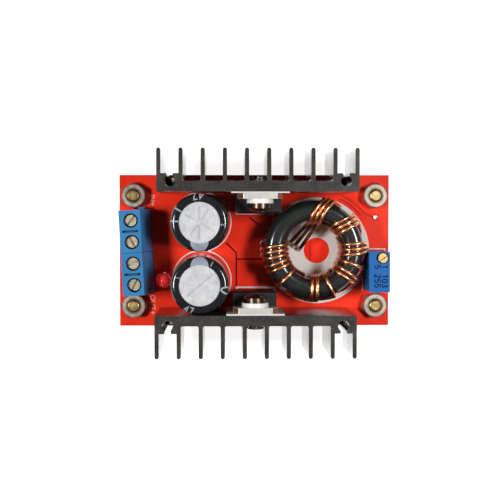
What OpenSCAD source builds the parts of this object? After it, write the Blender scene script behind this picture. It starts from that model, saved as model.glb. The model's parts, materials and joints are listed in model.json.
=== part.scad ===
// Step-up converter module: a red circuit board on four brass standoffs, with two
// finned heatsinks, two upright capacitors, a toroidal inductor, screw terminals
// and a multi-turn trimmer. Millimetres, +Z up, +X from the terminals to the trimmer.
// The origin is under the centre of the board, on the plane of the standoff feet.

/* [Board] */
// Thickness of the circuit board
board_t = 1.6; // [1:0.1:2.4]
// Distance of the mounting holes from the short edges
hole_inset_x = 3.5; // [3.4:0.1:4.5]
// Distance of the mounting holes from the long edges
hole_inset_y = 5; // [4.5:0.1:6]
// Diameter of the mounting holes
hole_d = 3.2; // [3.1:0.1:3.6]
// Clearance around each lead in its drilled hole
drill_gap = 0.15; // [0.1:0.05:0.3]
// Length of lead that stands out below the board
lead_tail = 1.6; // [1:0.1:3]

/* [Standoffs] */
// Length of the hexagon part of a standoff
standoff_h = 8; // [6:0.5:20]
// Width of a standoff across its flats
standoff_af = 5.5; // [5:0.1:6]
// Diameter of the threaded stud on top of a standoff
stud_d = 3; // [2.9:0.1:3]
// Length of stud that stands out of the nut
stud_over = 0.5; // [0.2:0.1:2]
// Core diameter of the thread in the foot of a standoff
foot_thread_d = 2.5; // [2:0.1:3]
// Depth of the thread in the foot of a standoff
foot_thread_l = 6; // [3:0.5:6]
// Width of a nut across its flats
nut_af = 5.5; // [5:0.1:5.6]
// Height of a nut
nut_h = 2.4; // [1.8:0.1:3]
// Play between a screw thread and its nut or hole
thread_gap = 0.05; // [0.03:0.01:0.1]

/* [Heatsinks] */
// How far the heatsinks stand above the tops of the capacitors
sink_over = 0; // [-2:0.1:9.5]
// Distance of a heatsink's mounting face from the board's edge
sink_inset = 4.4; // [4:0.1:6]
// Thickness of the heatsink's base
sink_base_t = 2.35; // [2:0.05:4]
// Number of fins
fin_count = 10; // [6:2:12]
// Distance from fin to fin
fin_pitch = 4.9; // [4.5:0.1:5.2]
// Thickness of a fin
fin_t = 0.95; // [0.7:0.05:1.4]
// Length of a fin beyond the base
fin_len = 7.35; // [4:0.05:12]
// Radius of the fillet at the root of a fin
fin_fillet = 0.4; // [0.2:0.1:0.6]
// Sideways offset of each heatsink from the middle of the board
sink_shift = 0.25; // [0:0.05:0.5]
// Diameter of the screw channels
channel_d = 2.5; // [2.2:0.1:2.8]
// How far the lips of a screw channel stand out of the base
channel_lip = 1.7; // [1.4:0.1:2.2]
// Width of the slot between the lips, at the channel
channel_slot = 1.1; // [1:0.1:1.9]
// Diameter of the heatsink screws' heads
sink_head_d = 4; // [3.5:0.1:4.2]
// Height of the heatsink screws' heads
sink_head_h = 1.6; // [1:0.1:2]
// Length of thread in the heatsink
sink_screw_in = 6; // [4:0.5:10]

/* [Power devices] */
// Width of a device
device_w = 10; // [9:0.1:10.5]
// Depth of a device from its mounting face to its front
device_d = 4.5; // [4.2:0.1:4.8]
// Height of the moulded body
device_body_h = 9; // [8:0.1:9.4]
// Height of the moulded body above the board
device_lift = 4; // [3:0.1:5]
// Thickness of the metal tab
tab_t = 1.3; // [1.1:0.1:1.5]
// Height of the tab above the moulded body
tab_h = 6.5; // [6:0.1:6.6]
// Height of the tab hole above the moulded body
tab_hole_h = 3.7; // [3.5:0.1:3.8]
// Diameter of the tab hole
tab_hole_d = 3.7; // [3.6:0.1:3.9]
// Width of a device lead
device_lead_w = 0.8; // [0.6:0.05:0.9]
// Thickness of the device leads
device_lead_t = 0.5; // [0.4:0.05:0.6]
// Distance of the leads from the mounting face
device_lead_set = 2.6; // [2.2:0.1:2.9]
// Distance from lead to lead
lead_pitch = 2.54; // [2.5:0.01:2.6]
// Width of the insulating pad
pad_w = 13; // [11:0.5:14]
// Height of the insulating pad
pad_h = 18; // [16:0.5:18]
// Thickness of the insulating pad
pad_t = 0.3; // [0.2:0.05:0.5]
// Diameter of the bush's flange
bush_d = 6; // [5.6:0.1:6.4]
// Thickness of the bush's flange
bush_t = 1; // [0.6:0.1:1.2]
// Diameter of the device screw
device_screw_d = 3; // [2.8:0.1:3]
// Diameter of the device screw's head
device_head_d = 5.4; // [5:0.1:5.6]
// Height of the device screw's head
device_head_h = 2; // [1.5:0.1:2.2]
// Length of device screw that stands out behind the heatsink's base
device_screw_over = 1; // [0.4:0.1:2]
// Gap between the capacitors and the rectifier, along the board
rectifier_gap = 2.05; // [1.8:0.05:3]
// How far the switch is set from the rectifier, towards the terminals
switch_set = 1.1; // [0:0.1:1.3]

/* [Terminal blocks] */
// Distance from way to way
way_pitch = 5; // [5:0.01:5.08]
// Depth of a block on the board
block_d = 6.9; // [6.5:0.1:7.6]
// Height of a block
block_h = 10; // [10:0.1:12]
// Depth of the flat top
block_top_d = 4.9; // [4.7:0.1:5.4]
// Height of the upright part of the back
block_back_h = 4.5; // [4.2:0.1:6]
// Distance of the screws from the front of the block
block_screw_set = 2.7; // [2.6:0.05:2.8]
// Distance of the front of the blocks from the board's edge
block_inset = 1.25; // [0.8:0.05:2]
// Skew of the pair of blocks on the board, in degrees
block_skew = 3; // [0:0.2:4]
// Sideways offset of the pair of blocks from the middle of the board
block_shift = -0.2; // [-0.2:0.05:0]
// Gap at the ends of a block
block_gap = 0.05; // [0.02:0.01:0.1]
// Diameter of a terminal screw's thread
way_screw_d = 2.5; // [2.3:0.1:2.5]
// Diameter of a terminal screw's head
way_head_d = 2.6; // [2.6:0.1:3]
// Height of a terminal screw's head
way_head_h = 1.35; // [1.2:0.05:1.6]
// Travel of a wire clamp
clamp_travel = 2; // [1.5:0.1:2]
// Height of the space for the wire with the clamp down
wire_space = 2.35; // [2:0.05:2.4]
// Width of a wire clamp
clamp_w = 3.6; // [3.4:0.1:3.6]
// Depth of a wire clamp
clamp_d = 3.5; // [3:0.1:3.5]
// Thickness of a wire clamp's sides and floor
clamp_t = 0.5; // [0.4:0.05:0.6]
// Thickness of the threaded top of a wire clamp
clamp_top_t = 0.9; // [0.7:0.05:1]
// Running clearance around the moving clamp
clamp_gap = 0.15; // [0.1:0.05:0.2]
// Thickness of the terminal's solder pin strip
strip_t = 0.7; // [0.6:0.05:0.8]
// Width of the terminal's solder pin strip
strip_w = 2.2; // [1.8:0.1:2.3]

/* [Capacitors] */
// Diameter of a capacitor with its sleeve
cap_d = 13; // [12:0.5:16]
// Height of a capacitor above the board
cap_h = 20.5; // [15:0.5:26]
// Thickness of the sleeve
sleeve_t = 0.2; // [0.15:0.05:0.3]
// Gap between the sleeve and the can, and between the seal and what it grips
sleeve_gap = 0.02; // [0.01:0.01:0.05]
// Diameter of the bare top inside the sleeve's lip
cap_bare_d = 9.2; // [7:0.1:10]
// Depth of the groove that grips the seal
cap_groove = 0.7; // [0.4:0.1:1]
// Distance between a capacitor's leads
cap_lead_pitch = 5; // [4:0.5:6]
// Diameter of a capacitor's leads
cap_lead_d = 0.8; // [0.6:0.05:1]
// Gap between the two capacitors
cap_pair_gap = 1; // [0.4:0.1:3]
// Gap between the capacitors and the heatsinks
cap_sink_gap = 0.3; // [0.2:0.05:2]
// Sideways offset of the pair of capacitors
cap_shift = -0.1; // [-0.1:0.05:0.1]
// Space for the lamp between the terminals and the capacitors
lamp_bay = 5.1; // [5:0.05:8]

/* [Inductor] */
// Outer diameter of the core
core_od = 22.9; // [20:0.1:24]
// Inner diameter of the core
core_id = 13.8; // [12:0.1:14]
// Height of the core
core_h = 9.2; // [7:0.1:12]
// Radius of the core's edges
core_round = 1.8; // [0.5:0.1:2]
// Gap between the core and the rectifier's corner
core_gap = 0.22; // [0.2:0.01:1]
// Sideways offset of the core from the middle of the board
core_y = 0.5; // [0:0.1:0.6]
// Diameter of a strand of the winding
wire_d = 0.9; // [0.6:0.05:0.95]
// Gap between a strand and the core
wire_gap = 0.05; // [0.03:0.01:0.2]

/* [Lamp] */
// Diameter of the lamp's lens
lamp_d = 3; // [2.8:0.1:3.2]
// Diameter of the lamp's flange
lamp_flange_d = 3.8; // [3.6:0.1:4]
// Height of the lamp above the board
lamp_h = 4.9; // [4:0.1:6]
// Gap between the lamp's flange and the capacitors
lamp_gap = 0.65; // [0.5:0.05:0.9]

/* [Trimmer] */
// Width of the trimmer across the board's length
trimmer_w = 4.83; // [4.6:0.01:5.2]
// Length of the trimmer along the board's edge
trimmer_l = 9.53; // [9:0.01:10]
// Height of the trimmer
trimmer_h = 10; // [8:0.1:12]
// Distance of the trimmer from the board's edge
trimmer_inset = 1.18; // [1:0.01:3]
// Gap between the trimmer and the winding
trimmer_gap = 0.25; // [0.2:0.05:1]
// Gap between the trimmer and the nearest nut
trimmer_nut_gap = 0.54; // [0.3:0.02:1]
// Diameter of the adjusting screw
trimmer_screw_d = 2.2; // [2:0.1:2.4]
// Length of adjusting screw that stands out on top
trimmer_screw_over = 0.9; // [0.5:0.1:1.6]

/* [Underside parts] */
// Length of the controller chip
chip_l = 4.9; // [4.8:0.1:5]
// Width of the controller chip without its pins
chip_w = 3.9; // [3.8:0.1:4]
// Thickness of the controller chip
chip_t = 1.45; // [1.2:0.05:1.75]
// Distance from pin to pin of the controller chip
chip_pitch = 1.27; // [1.2:0.01:1.3]
// Length of the small chip parts
smd_l = 2; // [1.6:0.1:2.2]
// Width of the small chip parts
smd_w = 1.25; // [0.8:0.05:1.4]
// Thickness of the small resistors
smd_r_t = 0.5; // [0.4:0.05:0.6]
// Thickness of the small capacitors
smd_c_t = 0.9; // [0.6:0.05:1.2]
// Length of the current-sense resistor
shunt_l = 6.4; // [5:0.1:6.6]
// Width of the current-sense resistor
shunt_w = 3.2; // [2.5:0.1:3.4]
// Thickness of the current-sense resistor
shunt_t = 0.7; // [0.5:0.05:1]

/* [Hidden] */
$fn = 48;
eps = 0.01;
// Play at the inner end of a screw that turns in place
end_play = 0.1;

red = [0.85, 0.12, 0.08];
charcoal = [0.22, 0.22, 0.21];
blue = [0.2, 0.48, 0.8];
tin = [0.75, 0.75, 0.74];
brass = [0.78, 0.62, 0.32];
steel = [0.7, 0.68, 0.66];
copper = [0.76, 0.42, 0.2];
white = [0.93, 0.92, 0.88];
black = [0.07, 0.07, 0.08];
silver = [0.85, 0.85, 0.87];

// Heights
z_under = standoff_h;
z_top = z_under + board_t;
tail_z = -board_t - lead_tail;

// Layout along the board, measured from its left edge
from_left_block = block_inset + block_screw_set;
from_left_cap = block_inset + block_d + lamp_bay + cap_d / 2;
from_left_rectifier = from_left_cap + cap_d / 2 + rectifier_gap + device_w / 2;
nut_r = nut_af / 2 / cos(30);
block_l = 2 * way_pitch - 2 * block_gap;
blocks_half = 2 * way_pitch - block_gap;
nut_block_gap = 0.25;
half_w = max(
    cap_d + cap_pair_gap / 2 + cap_sink_gap + sink_inset,
    blocks_half + block_shift + nut_block_gap + nut_r + hole_inset_y,
    blocks_half - block_shift + nut_block_gap + nut_af / 2 + hole_inset_y
);
board_w = 2 * half_w;
sink_face = half_w - sink_inset;
rectifier_front = sink_face - pad_t - device_d;
core_r = core_od / 2;
core_reach = core_r + core_gap;
corner_dy = min(rectifier_front - core_y, core_reach);
from_left_core = from_left_rectifier + device_w / 2
    + sqrt(core_reach * core_reach - corner_dy * corner_dy);
wound_r = core_r + 2 * wire_gap + wire_d;
from_left_trimmer = from_left_core + wound_r + trimmer_gap + trimmer_w / 2;
board_l = from_left_trimmer + trimmer_w / 2 + trimmer_inset;
left = -board_l / 2;

// Mounting holes
hole_x = board_l / 2 - hole_inset_x;
hole_y = half_w - hole_inset_y;
holes = [for (sx = [-1, 1], sy = [-1, 1]) [sx * hole_x, sy * hole_y]];
via_at = [hole_x + 0.3, hole_y - 5.2];
via_d = 0.9;

// Places of the parts on the board
block_x = left + from_left_block;
cap_x = left + from_left_cap;
cap_step = (cap_d + cap_pair_gap) / 2;
cap_at = [[cap_x, cap_step + cap_shift], [cap_x, -cap_step + cap_shift]];
rectifier_x = left + from_left_rectifier;
switch_x = rectifier_x - switch_set;
core_x = left + from_left_core;
lamp_x = cap_x - cap_d / 2 - lamp_gap - lamp_flange_d / 2;
lamp_y = -cap_step;
trimmer_x = left + from_left_trimmer;
trimmer_y = -hole_y + nut_r + trimmer_nut_gap + trimmer_l / 2;

// Heatsink profile
sink_l = (fin_count - 1) * fin_pitch + fin_t;
fin_x0 = -sink_l / 2 + fin_t / 2;
fin_gap = fin_pitch - fin_t;
channel_x = [fin_x0 + fin_pitch / 2, -fin_x0 - fin_pitch / 2];
sink_screw_d = channel_d - 2 * thread_gap;

// Device heights above the board
body_top = device_lift + device_body_h;
tab_top = body_top + tab_h;
tab_hole_z = body_top + tab_hole_h;
pad_over = 0.4;
pad_top = tab_top + pad_over;
tab_clip = 1.2;
tab_root_side = 1.2;
tab_root_w = device_w - 2 * tab_root_side;
tab_root_up = 0.7;
tab_root_z = device_lift + tab_root_up;
lead_shoulder = 1.2;
lead_side = 0.25;
lead_wide = device_lead_w + 2 * lead_side;
lead_neck = 0.3;

// Height of the heatsinks, with metal left above the tapped hole
sink_rim = 0.2;
sink_h = max(cap_h + sink_over, tab_hole_z + device_screw_d / 2 + thread_gap + sink_rim);

// Terminal block, in its own frame: x from the screw line to the back, y along the ways
block_front = -block_screw_set;
block_back = block_front + block_d;
block_top_end = block_front + block_top_d;
way_y = [for (i = [0:3]) (1.5 - i) * way_pitch];
cavity_z = 0.7;
clamp_z = cavity_z + clamp_gap;
strip_z = clamp_z + clamp_t + wire_space;
strip_top = strip_z + strip_t;
clamp_top_z = strip_top + clamp_gap;
clamp_h = clamp_top_z + clamp_top_t - clamp_z;
cavity_top = clamp_z + clamp_h + clamp_travel + clamp_gap;
cavity_w = clamp_w + 2 * clamp_gap;
cavity_x = clamp_d / 2 + clamp_gap;
way_tip_z = strip_top + end_play;
way_head_z = cavity_top + clamp_gap;
way_head_gap = 0.4;
way_hole_d = way_head_d + 2 * way_head_gap;
way_pin_d = 1;
way_pin_x = cavity_x + strip_t / 2;
entry_w = clamp_w - 2 * clamp_t + 0.8;
entry_z = clamp_z;
entry_top = strip_top;
rib_w = 1.6;
rib_t = 0.6;
rib_h = 3.5;
rib_x = block_back - rib_w - 0.5;
rib_gap = 0.08;

// Winding: azimuth of the strands at the hole and at the rim, turn by turn
strand_in = [
    [81, 91, 101], [34, 44, 54], [-10, 0, 10], [-45, -35, -22],
    [-95, -85, -69], [-161.5, -152, -136.5], [-190, -180.5, -171]
];
strand_out = [
    [69.5, 74.5, 79.5], [32, 37, 42], [-3, 2, 7], [-39.5, -34, -20.5],
    [-93.7, -88, -67], [-159.5, -153.5, -135], [-181, -175.5, -169]
];
strand_end = [-186, -179, -172];
turns = len(strand_in);
core_z = 2 * wire_gap + wire_d;
bend_r = core_round + wire_gap + wire_d / 2;
path_in = core_id / 2 - wire_gap - wire_d / 2;
path_out = core_r + wire_gap + wire_d / 2;
path_low = wire_gap + wire_d / 2;
path_high = core_z + core_h + wire_gap + wire_d / 2;
// Where the strands come up through the board, inside the core
start_gap = 0.5;
start_at = path_in * [-0.66, 0.09];
start_step = wire_d + start_gap;
start_dir = [-0.82, 0.57];
// Heights of the straight ends above the board, and reach of the curve between
start_z = 0.5;
end_z = 1;
start_pull = 3.5;

// Trimmer
trimmer_foot = 0.5;
trimmer_screw_at = [trimmer_w / 2 - 1.75, trimmer_l / 2 - 1.45];
trimmer_bore_z = 4;
trimmer_recess = 0.4;
trimmer_lead_d = 0.5;

// Lamp
lamp_lead_w = 0.5;
lamp_seat = 0.2;
lamp_flange_t = 1;

function spin(a, p) = [p[0] * cos(a) - p[1] * sin(a), p[0] * sin(a) + p[1] * cos(a)];

// Places of the leads on the board, with the diameter that goes round each
device_lead_y = sink_face - pad_t - device_lead_set;
device_lead_round = sqrt(device_lead_w * device_lead_w + device_lead_t * device_lead_t);
rectifier_lead_at = [for (i = [-1:1]) [rectifier_x + i * lead_pitch, device_lead_y]];
switch_lead_at = [for (i = [-1:1]) [switch_x + i * lead_pitch, -device_lead_y]];
cap_lead_at = [for (c = cap_at, s = [-1, 1]) c + [0, s * cap_lead_pitch / 2]];
way_pin_at = [for (y = way_y) [block_x, block_shift] + spin(block_skew, [way_pin_x, y])];
lamp_lead_at = [for (s = [-1, 1]) [lamp_x, lamp_y + s * lead_pitch / 2]];
trimmer_lead_at = [for (i = [-1:1]) [trimmer_x, trimmer_y + i * lead_pitch]];
strand_start_at = [for (j = [0:2]) [core_x, core_y] + start_at + (j - 1) * start_step * start_dir];
strand_end_at = [for (a = strand_end) [core_x, core_y] + path_out * [cos(a), sin(a)]];
leads = concat(
    [for (p = rectifier_lead_at) [p, device_lead_round]],
    [for (p = switch_lead_at) [p, device_lead_round]],
    [for (p = cap_lead_at) [p, cap_lead_d]],
    [for (p = way_pin_at) [p, way_pin_d]],
    [for (p = lamp_lead_at) [p, lamp_lead_w * sqrt(2)]],
    [for (p = trimmer_lead_at) [p, trimmer_lead_d]],
    [for (p = strand_start_at) [p, wire_d]],
    [for (p = strand_end_at) [p, wire_d]]
);

// Shared shapes

module on_board() {
    translate([0, 0, z_top]) children();
}

module under_board() {
    translate([0, 0, z_under]) mirror([0, 0, 1]) children();
}

module hexagon(af, h) {
    cylinder(d = af / cos(30), h = h, $fn = 6);
}

// A hexagon with the corners of both ends turned off
module turned_hexagon(af, h) {
    corner = af / 2 / cos(30);
    fall = (corner - af / 2) * tan(30);
    intersection() {
        hexagon(af, h);
        rotate_extrude() polygon([
            [0, 0], [af / 2, 0], [corner, fall], [corner, h - fall], [af / 2, h], [0, h]
        ]);
    }
}

// A rectangle with its two front corners cut off, front towards -Y
module clipped_rectangle(w, d, clip) {
    polygon([
        [-w / 2, 0], [w / 2, 0], [w / 2, clip - d], [w / 2 - clip, -d],
        [clip - w / 2, -d], [-w / 2, clip - d]
    ]);
}

// Solid with a profile in x and height, from y = 0 towards -Y
module plate(t) {
    rotate([90, 0, 0]) linear_extrude(t) children();
}

// Board

module circuit_board() {
    color(red) difference() {
        translate([0, 0, z_under + board_t / 2]) cube([board_l, board_w, board_t], center = true);
        for (p = holes) drill(p, hole_d);
        for (lead = leads) drill(lead[0], lead[1] + 2 * drill_gap);
        for (a = [0, 180], x = channel_x) rotate(a) drill(
            [x + sink_shift, sink_face + sink_base_t], channel_d + 2 * drill_gap);
        drill(via_at, via_d);
    }
}

module drill(p, d) {
    translate([p[0], p[1], z_under - 1]) cylinder(d = d, h = board_t + 2);
}

// Solder fillet round each lead, below the board
solder_rim = 0.45;
solder_top = 0.15;
solder_h = 1;
solder_gap = 0.02;

module solder_joints() {
    h = min(solder_h, lead_tail);
    color(tin) for (lead = leads) under_board() translate(lead[0]) rotate_extrude()
        translate([lead[1] / 2, 0]) polygon([
            [solder_gap, 0], [solder_rim, 0], [solder_rim * 0.55, h * 0.3], [solder_top, h], [solder_gap, h]
        ]);
}

// Standoffs

module standoffs() {
    stud_l = board_t + nut_h + stud_over;
    tip = 0.4;
    color(brass) for (p = holes) translate(p) {
        difference() {
            turned_hexagon(standoff_af, standoff_h);
            translate([0, 0, -eps]) cylinder(d = foot_thread_d, h = foot_thread_l + eps);
        }
        translate([0, 0, standoff_h]) cylinder(d = stud_d, h = stud_l - tip);
        translate([0, 0, standoff_h + stud_l - tip])
            cylinder(d1 = stud_d, d2 = stud_d - 2 * tip, h = tip);
    }
}

module standoff_nuts() {
    turn = [0, 30, 12, 20];
    color(steel) for (i = [0:3]) on_board() translate(holes[i]) difference() {
        rotate(turn[i]) turned_hexagon(nut_af, nut_h);
        translate([0, 0, -1]) cylinder(d = stud_d + 2 * thread_gap, h = nut_h + 2);
    }
}

// Heatsinks

// Fin with a round tip, at the origin, from the base towards +Y
module fin_profile() {
    translate([-fin_t / 2, 0]) square([fin_t, sink_base_t + fin_len - fin_t / 2]);
    translate([0, sink_base_t + fin_len - fin_t / 2]) circle(d = fin_t);
}

// Fillets in the two corners of the gap that is centred at the origin
module gap_fillets() {
    for (s = [0, 1]) mirror([s, 0]) difference() {
        translate([fin_gap / 2 - fin_fillet, sink_base_t - eps]) square(fin_fillet + eps);
        translate([fin_gap / 2 - fin_fillet, sink_base_t + fin_fillet]) circle(r = fin_fillet);
    }
}

module sink_profile() {
    difference() {
        union() {
            translate([-sink_l / 2, 0]) square([sink_l, sink_base_t]);
            for (i = [0 : fin_count - 1]) translate([fin_x0 + i * fin_pitch, 0]) fin_profile();
            for (i = [1 : fin_count - 3]) translate([fin_x0 + (i + 0.5) * fin_pitch, 0]) gap_fillets();
            for (x = channel_x) translate([x - fin_pitch / 2, 0])
                square([fin_pitch, sink_base_t + channel_lip]);
        }
        for (x = channel_x) translate([x, sink_base_t]) {
            circle(d = channel_d);
            polygon([
                [-channel_slot / 2, 0], [channel_slot / 2, 0],
                [channel_slot * 0.75, channel_lip + 1], [-channel_slot * 0.75, channel_lip + 1]
            ]);
        }
    }
}

// One heatsink on the +Y side, with the tapped hole for the device at device_at
module heatsink(device_at) {
    on_board() difference() {
        translate([sink_shift, sink_face, 0]) linear_extrude(sink_h) sink_profile();
        translate([device_at, sink_face + sink_base_t + 1, tab_hole_z]) rotate([90, 0, 0])
            cylinder(d = device_screw_d + 2 * thread_gap, h = sink_base_t + 2);
    }
}

module heatsink_upper() {
    color(charcoal) heatsink(rectifier_x);
}

module heatsink_lower() {
    color(charcoal) rotate(180) heatsink(-switch_x);
}

module heatsink_screws() {
    recess = [2.2, 0.5, 0.7];
    color(steel) for (a = [0, 180], x = channel_x) rotate(a)
        translate([x + sink_shift, sink_face + sink_base_t, z_under]) {
            difference() {
                translate([0, 0, -sink_head_h])
                    cylinder(d1 = sink_head_d - 1, d2 = sink_head_d, h = sink_head_h);
                for (r = [0, 90]) rotate(r) translate([0, 0, -sink_head_h]) cube(recess, center = true);
            }
            cylinder(d = sink_screw_d, h = board_t + sink_screw_in - sink_screw_d / 2);
            translate([0, 0, board_t + sink_screw_in - sink_screw_d / 2])
                cylinder(d1 = sink_screw_d, d2 = 0.4, h = sink_screw_d / 2);
        }
}

// Power devices, in a frame with y = 0 on the heatsink's face and -Y towards the board's middle

module at_device(upper) {
    on_board() rotate(upper ? 0 : 180)
        translate([upper ? rectifier_x : -switch_x, sink_face, 0]) children();
}

module tab_outline() {
    polygon([
        [-tab_root_w / 2, tab_root_z], [tab_root_w / 2, tab_root_z], [tab_root_w / 2, body_top],
        [device_w / 2, body_top], [device_w / 2, tab_top - 2 * tab_clip],
        [device_w / 2 - tab_clip, tab_top],
        [tab_clip - device_w / 2, tab_top], [-device_w / 2, tab_top - 2 * tab_clip],
        [-device_w / 2, body_top], [-tab_root_w / 2, body_top]
    ]);
}

module device_tab() {
    translate([0, -pad_t, 0]) plate(tab_t) difference() {
        tab_outline();
        translate([0, tab_hole_z]) circle(d = tab_hole_d);
    }
}

module device_body() {
    clip = 0.35;
    mark_d = 1.6;
    mark_depth = 0.12;
    translate([0, -pad_t, 0]) difference() {
        intersection() {
            translate([0, 0, device_lift]) linear_extrude(device_body_h)
                clipped_rectangle(device_w, device_d, clip);
            rotate([90, 0, 90]) linear_extrude(device_w, center = true) polygon([
                [0, device_lift], [clip - device_d, device_lift], [-device_d, device_lift + 2 * clip],
                [-device_d, body_top - 2 * clip], [clip - device_d, body_top], [0, body_top]
            ]);
        }
        translate([0, eps, 0]) plate(tab_t + eps) tab_outline();
        translate([device_w * 0.3, mark_depth - device_d, body_top - 2]) rotate([90, 0, 0])
            cylinder(d = mark_d, h = 1);
    }
}

module device_leads() {
    translate([0, device_lead_t / 2 - pad_t - device_lead_set, 0]) plate(device_lead_t)
        for (i = [-1:1]) translate([i * lead_pitch, 0]) polygon([
            [-lead_wide / 2, device_lift], [-lead_wide / 2, lead_shoulder + lead_neck],
            [-device_lead_w / 2, lead_shoulder], [-device_lead_w / 2, tail_z],
            [device_lead_w / 2, tail_z], [device_lead_w / 2, lead_shoulder],
            [lead_wide / 2, lead_shoulder + lead_neck], [lead_wide / 2, device_lift]
        ]);
}

module device_pad() {
    plate(pad_t) difference() {
        translate([-pad_w / 2, pad_top - pad_h]) square([pad_w, pad_h]);
        translate([0, tab_hole_z]) circle(d = device_screw_d + 2 * drill_gap);
    }
}

module device_bush() {
    sleeve_d = tab_hole_d - 2 * thread_gap;
    translate([0, -pad_t, tab_hole_z]) rotate([90, 0, 0]) difference() {
        union() {
            cylinder(d = sleeve_d, h = tab_t);
            translate([0, 0, tab_t]) cylinder(d = bush_d, h = bush_t);
        }
        translate([0, 0, -1]) cylinder(d = device_screw_d + 2 * thread_gap, h = tab_t + bush_t + 2);
    }
}

module device_screw() {
    recess = [device_head_d * 0.55, 0.7, 1.6];
    under_head = pad_t + tab_t + bush_t;
    dome = device_head_h * 0.45;
    ball = (device_head_d * device_head_d / 4 + dome * dome) / (2 * dome);
    translate([0, 0, tab_hole_z]) rotate([90, 0, 0]) {
        translate([0, 0, -sink_base_t - device_screw_over])
            cylinder(d = device_screw_d, h = sink_base_t + device_screw_over + under_head);
        difference() {
            translate([0, 0, under_head]) intersection() {
                cylinder(d = device_head_d, h = device_head_h);
                translate([0, 0, device_head_h - ball]) sphere(r = ball);
            }
            for (r = [20, 110]) rotate(r) translate([0, 0, under_head + device_head_h])
                cube(recess, center = true);
        }
    }
}

module rectifier_tab() { color(tin) at_device(true) device_tab(); }
module rectifier_body() { color(black) at_device(true) device_body(); }
module rectifier_leads() { color(tin) at_device(true) device_leads(); }
module rectifier_pad() { color(white) at_device(true) device_pad(); }
module rectifier_bush() { color(white) at_device(true) device_bush(); }
module rectifier_screw() { color(brass) at_device(true) device_screw(); }
module switch_tab() { color(tin) at_device(false) device_tab(); }
module switch_body() { color(black) at_device(false) device_body(); }
module switch_leads() { color(tin) at_device(false) device_leads(); }
module switch_pad() { color(white) at_device(false) device_pad(); }
module switch_bush() { color(white) at_device(false) device_bush(); }
module switch_screw() { color(brass) at_device(false) device_screw(); }

// Terminal blocks

module at_blocks() {
    on_board() translate([block_x, block_shift, 0]) rotate(block_skew) children();
}

// Cuts for one way: clamp cavity, screw hole, funnel for the wire and slot for the pin strip
module way_cuts() {
    funnel = 0.4;
    translate([-cavity_x, -cavity_w / 2, cavity_z])
        cube([2 * cavity_x, cavity_w, cavity_top - cavity_z]);
    translate([0, 0, cavity_top - 1]) cylinder(d = way_hole_d, h = block_h);
    translate([block_front - 1, -entry_w / 2, entry_z])
        cube([block_screw_set, entry_w, entry_top - entry_z]);
    intersection() {
        translate([block_front, 0, 0]) linear_extrude(block_h) polygon([
            [-funnel, -entry_w / 2 - 2 * funnel], [funnel, -entry_w / 2],
            [funnel, entry_w / 2], [-funnel, entry_w / 2 + 2 * funnel]
        ]);
        translate([block_front, cavity_w, 0]) plate(2 * cavity_w) polygon([
            [-funnel, entry_z - funnel / 4], [funnel, entry_z],
            [funnel, entry_top], [-funnel, entry_top + 2 * funnel]
        ]);
    }
    translate([cavity_x - eps, -strip_w / 2 - thread_gap, -1])
        cube([strip_t + thread_gap + eps, strip_w + 2 * thread_gap, strip_top + thread_gap + 1]);
}

module rib(w, t) {
    linear_extrude(rib_h) polygon([[-w / 2 + 0.2, -eps], [w / 2 - 0.2, -eps], [w / 2, t], [-w / 2, t]]);
}

// One two-way housing with its middle at y = mid
module terminal_housing(mid) {
    groove = [block_top_d - 1.2, 0.55, 2];
    color(blue) at_blocks() difference() {
        union() {
            translate([0, mid + block_l / 2, 0]) plate(block_l) polygon([
                [block_front, 0], [block_back, 0], [block_back, block_back_h],
                [block_top_end, block_h], [block_front, block_h]
            ]);
            translate([rib_x, mid + block_l / 2, 0]) rib(rib_w, rib_t);
        }
        for (s = [-0.5, 0.5]) translate([0, mid + s * way_pitch, 0]) way_cuts();
        translate([block_front + block_top_d / 2, mid, block_h]) cube(groove, center = true);
        translate([rib_x, mid - block_l / 2, -eps]) rib(rib_w + 2 * rib_gap, rib_t + rib_gap);
    }
}

module output_terminal_housing() { terminal_housing(way_pitch); }
module input_terminal_housing() { terminal_housing(-way_pitch); }

module terminal_pins() {
    color(tin) at_blocks() for (y = way_y) translate([0, y, 0]) {
        translate([0, strip_w / 2, 0]) plate(strip_w) polygon([
            [-clamp_d / 2, strip_z], [cavity_x, strip_z], [cavity_x, 0], [cavity_x + strip_t, 0],
            [cavity_x + strip_t, strip_top], [-clamp_d / 2, strip_top]
        ]);
        translate([way_pin_x, 0, tail_z]) cylinder(d = way_pin_d, h = -tail_z);
    }
}

module terminal_screw(i) {
    slot = [way_head_d + 1, 0.55, 1.4];
    slot_turn = [48, 118, 15, 60];
    color(steel) at_blocks() translate([0, way_y[i], 0]) {
        translate([0, 0, way_tip_z]) cylinder(d = way_screw_d, h = way_head_z - way_tip_z);
        difference() {
            translate([0, 0, way_head_z]) cylinder(d = way_head_d, h = way_head_h);
            translate([0, 0, way_head_z + way_head_h]) rotate(slot_turn[i]) cube(slot, center = true);
        }
    }
}

module terminal_screw_1() { terminal_screw(0); }
module terminal_screw_2() { terminal_screw(1); }
module terminal_screw_3() { terminal_screw(2); }
module terminal_screw_4() { terminal_screw(3); }

module wire_clamp(i) {
    inner = [clamp_d + 2, clamp_w - 2 * clamp_t, clamp_top_z - clamp_z - clamp_t];
    color(tin) at_blocks() translate([0, way_y[i], clamp_z]) difference() {
        translate([-clamp_d / 2, -clamp_w / 2, 0]) cube([clamp_d, clamp_w, clamp_h]);
        translate([-inner[0] / 2, -inner[1] / 2, clamp_t]) cube(inner);
        cylinder(d = way_screw_d + 2 * thread_gap, h = clamp_h + 1);
    }
}

module wire_clamp_1() { wire_clamp(0); }
module wire_clamp_2() { wire_clamp(1); }
module wire_clamp_3() { wire_clamp(2); }
module wire_clamp_4() { wire_clamp(3); }

// Capacitors

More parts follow.
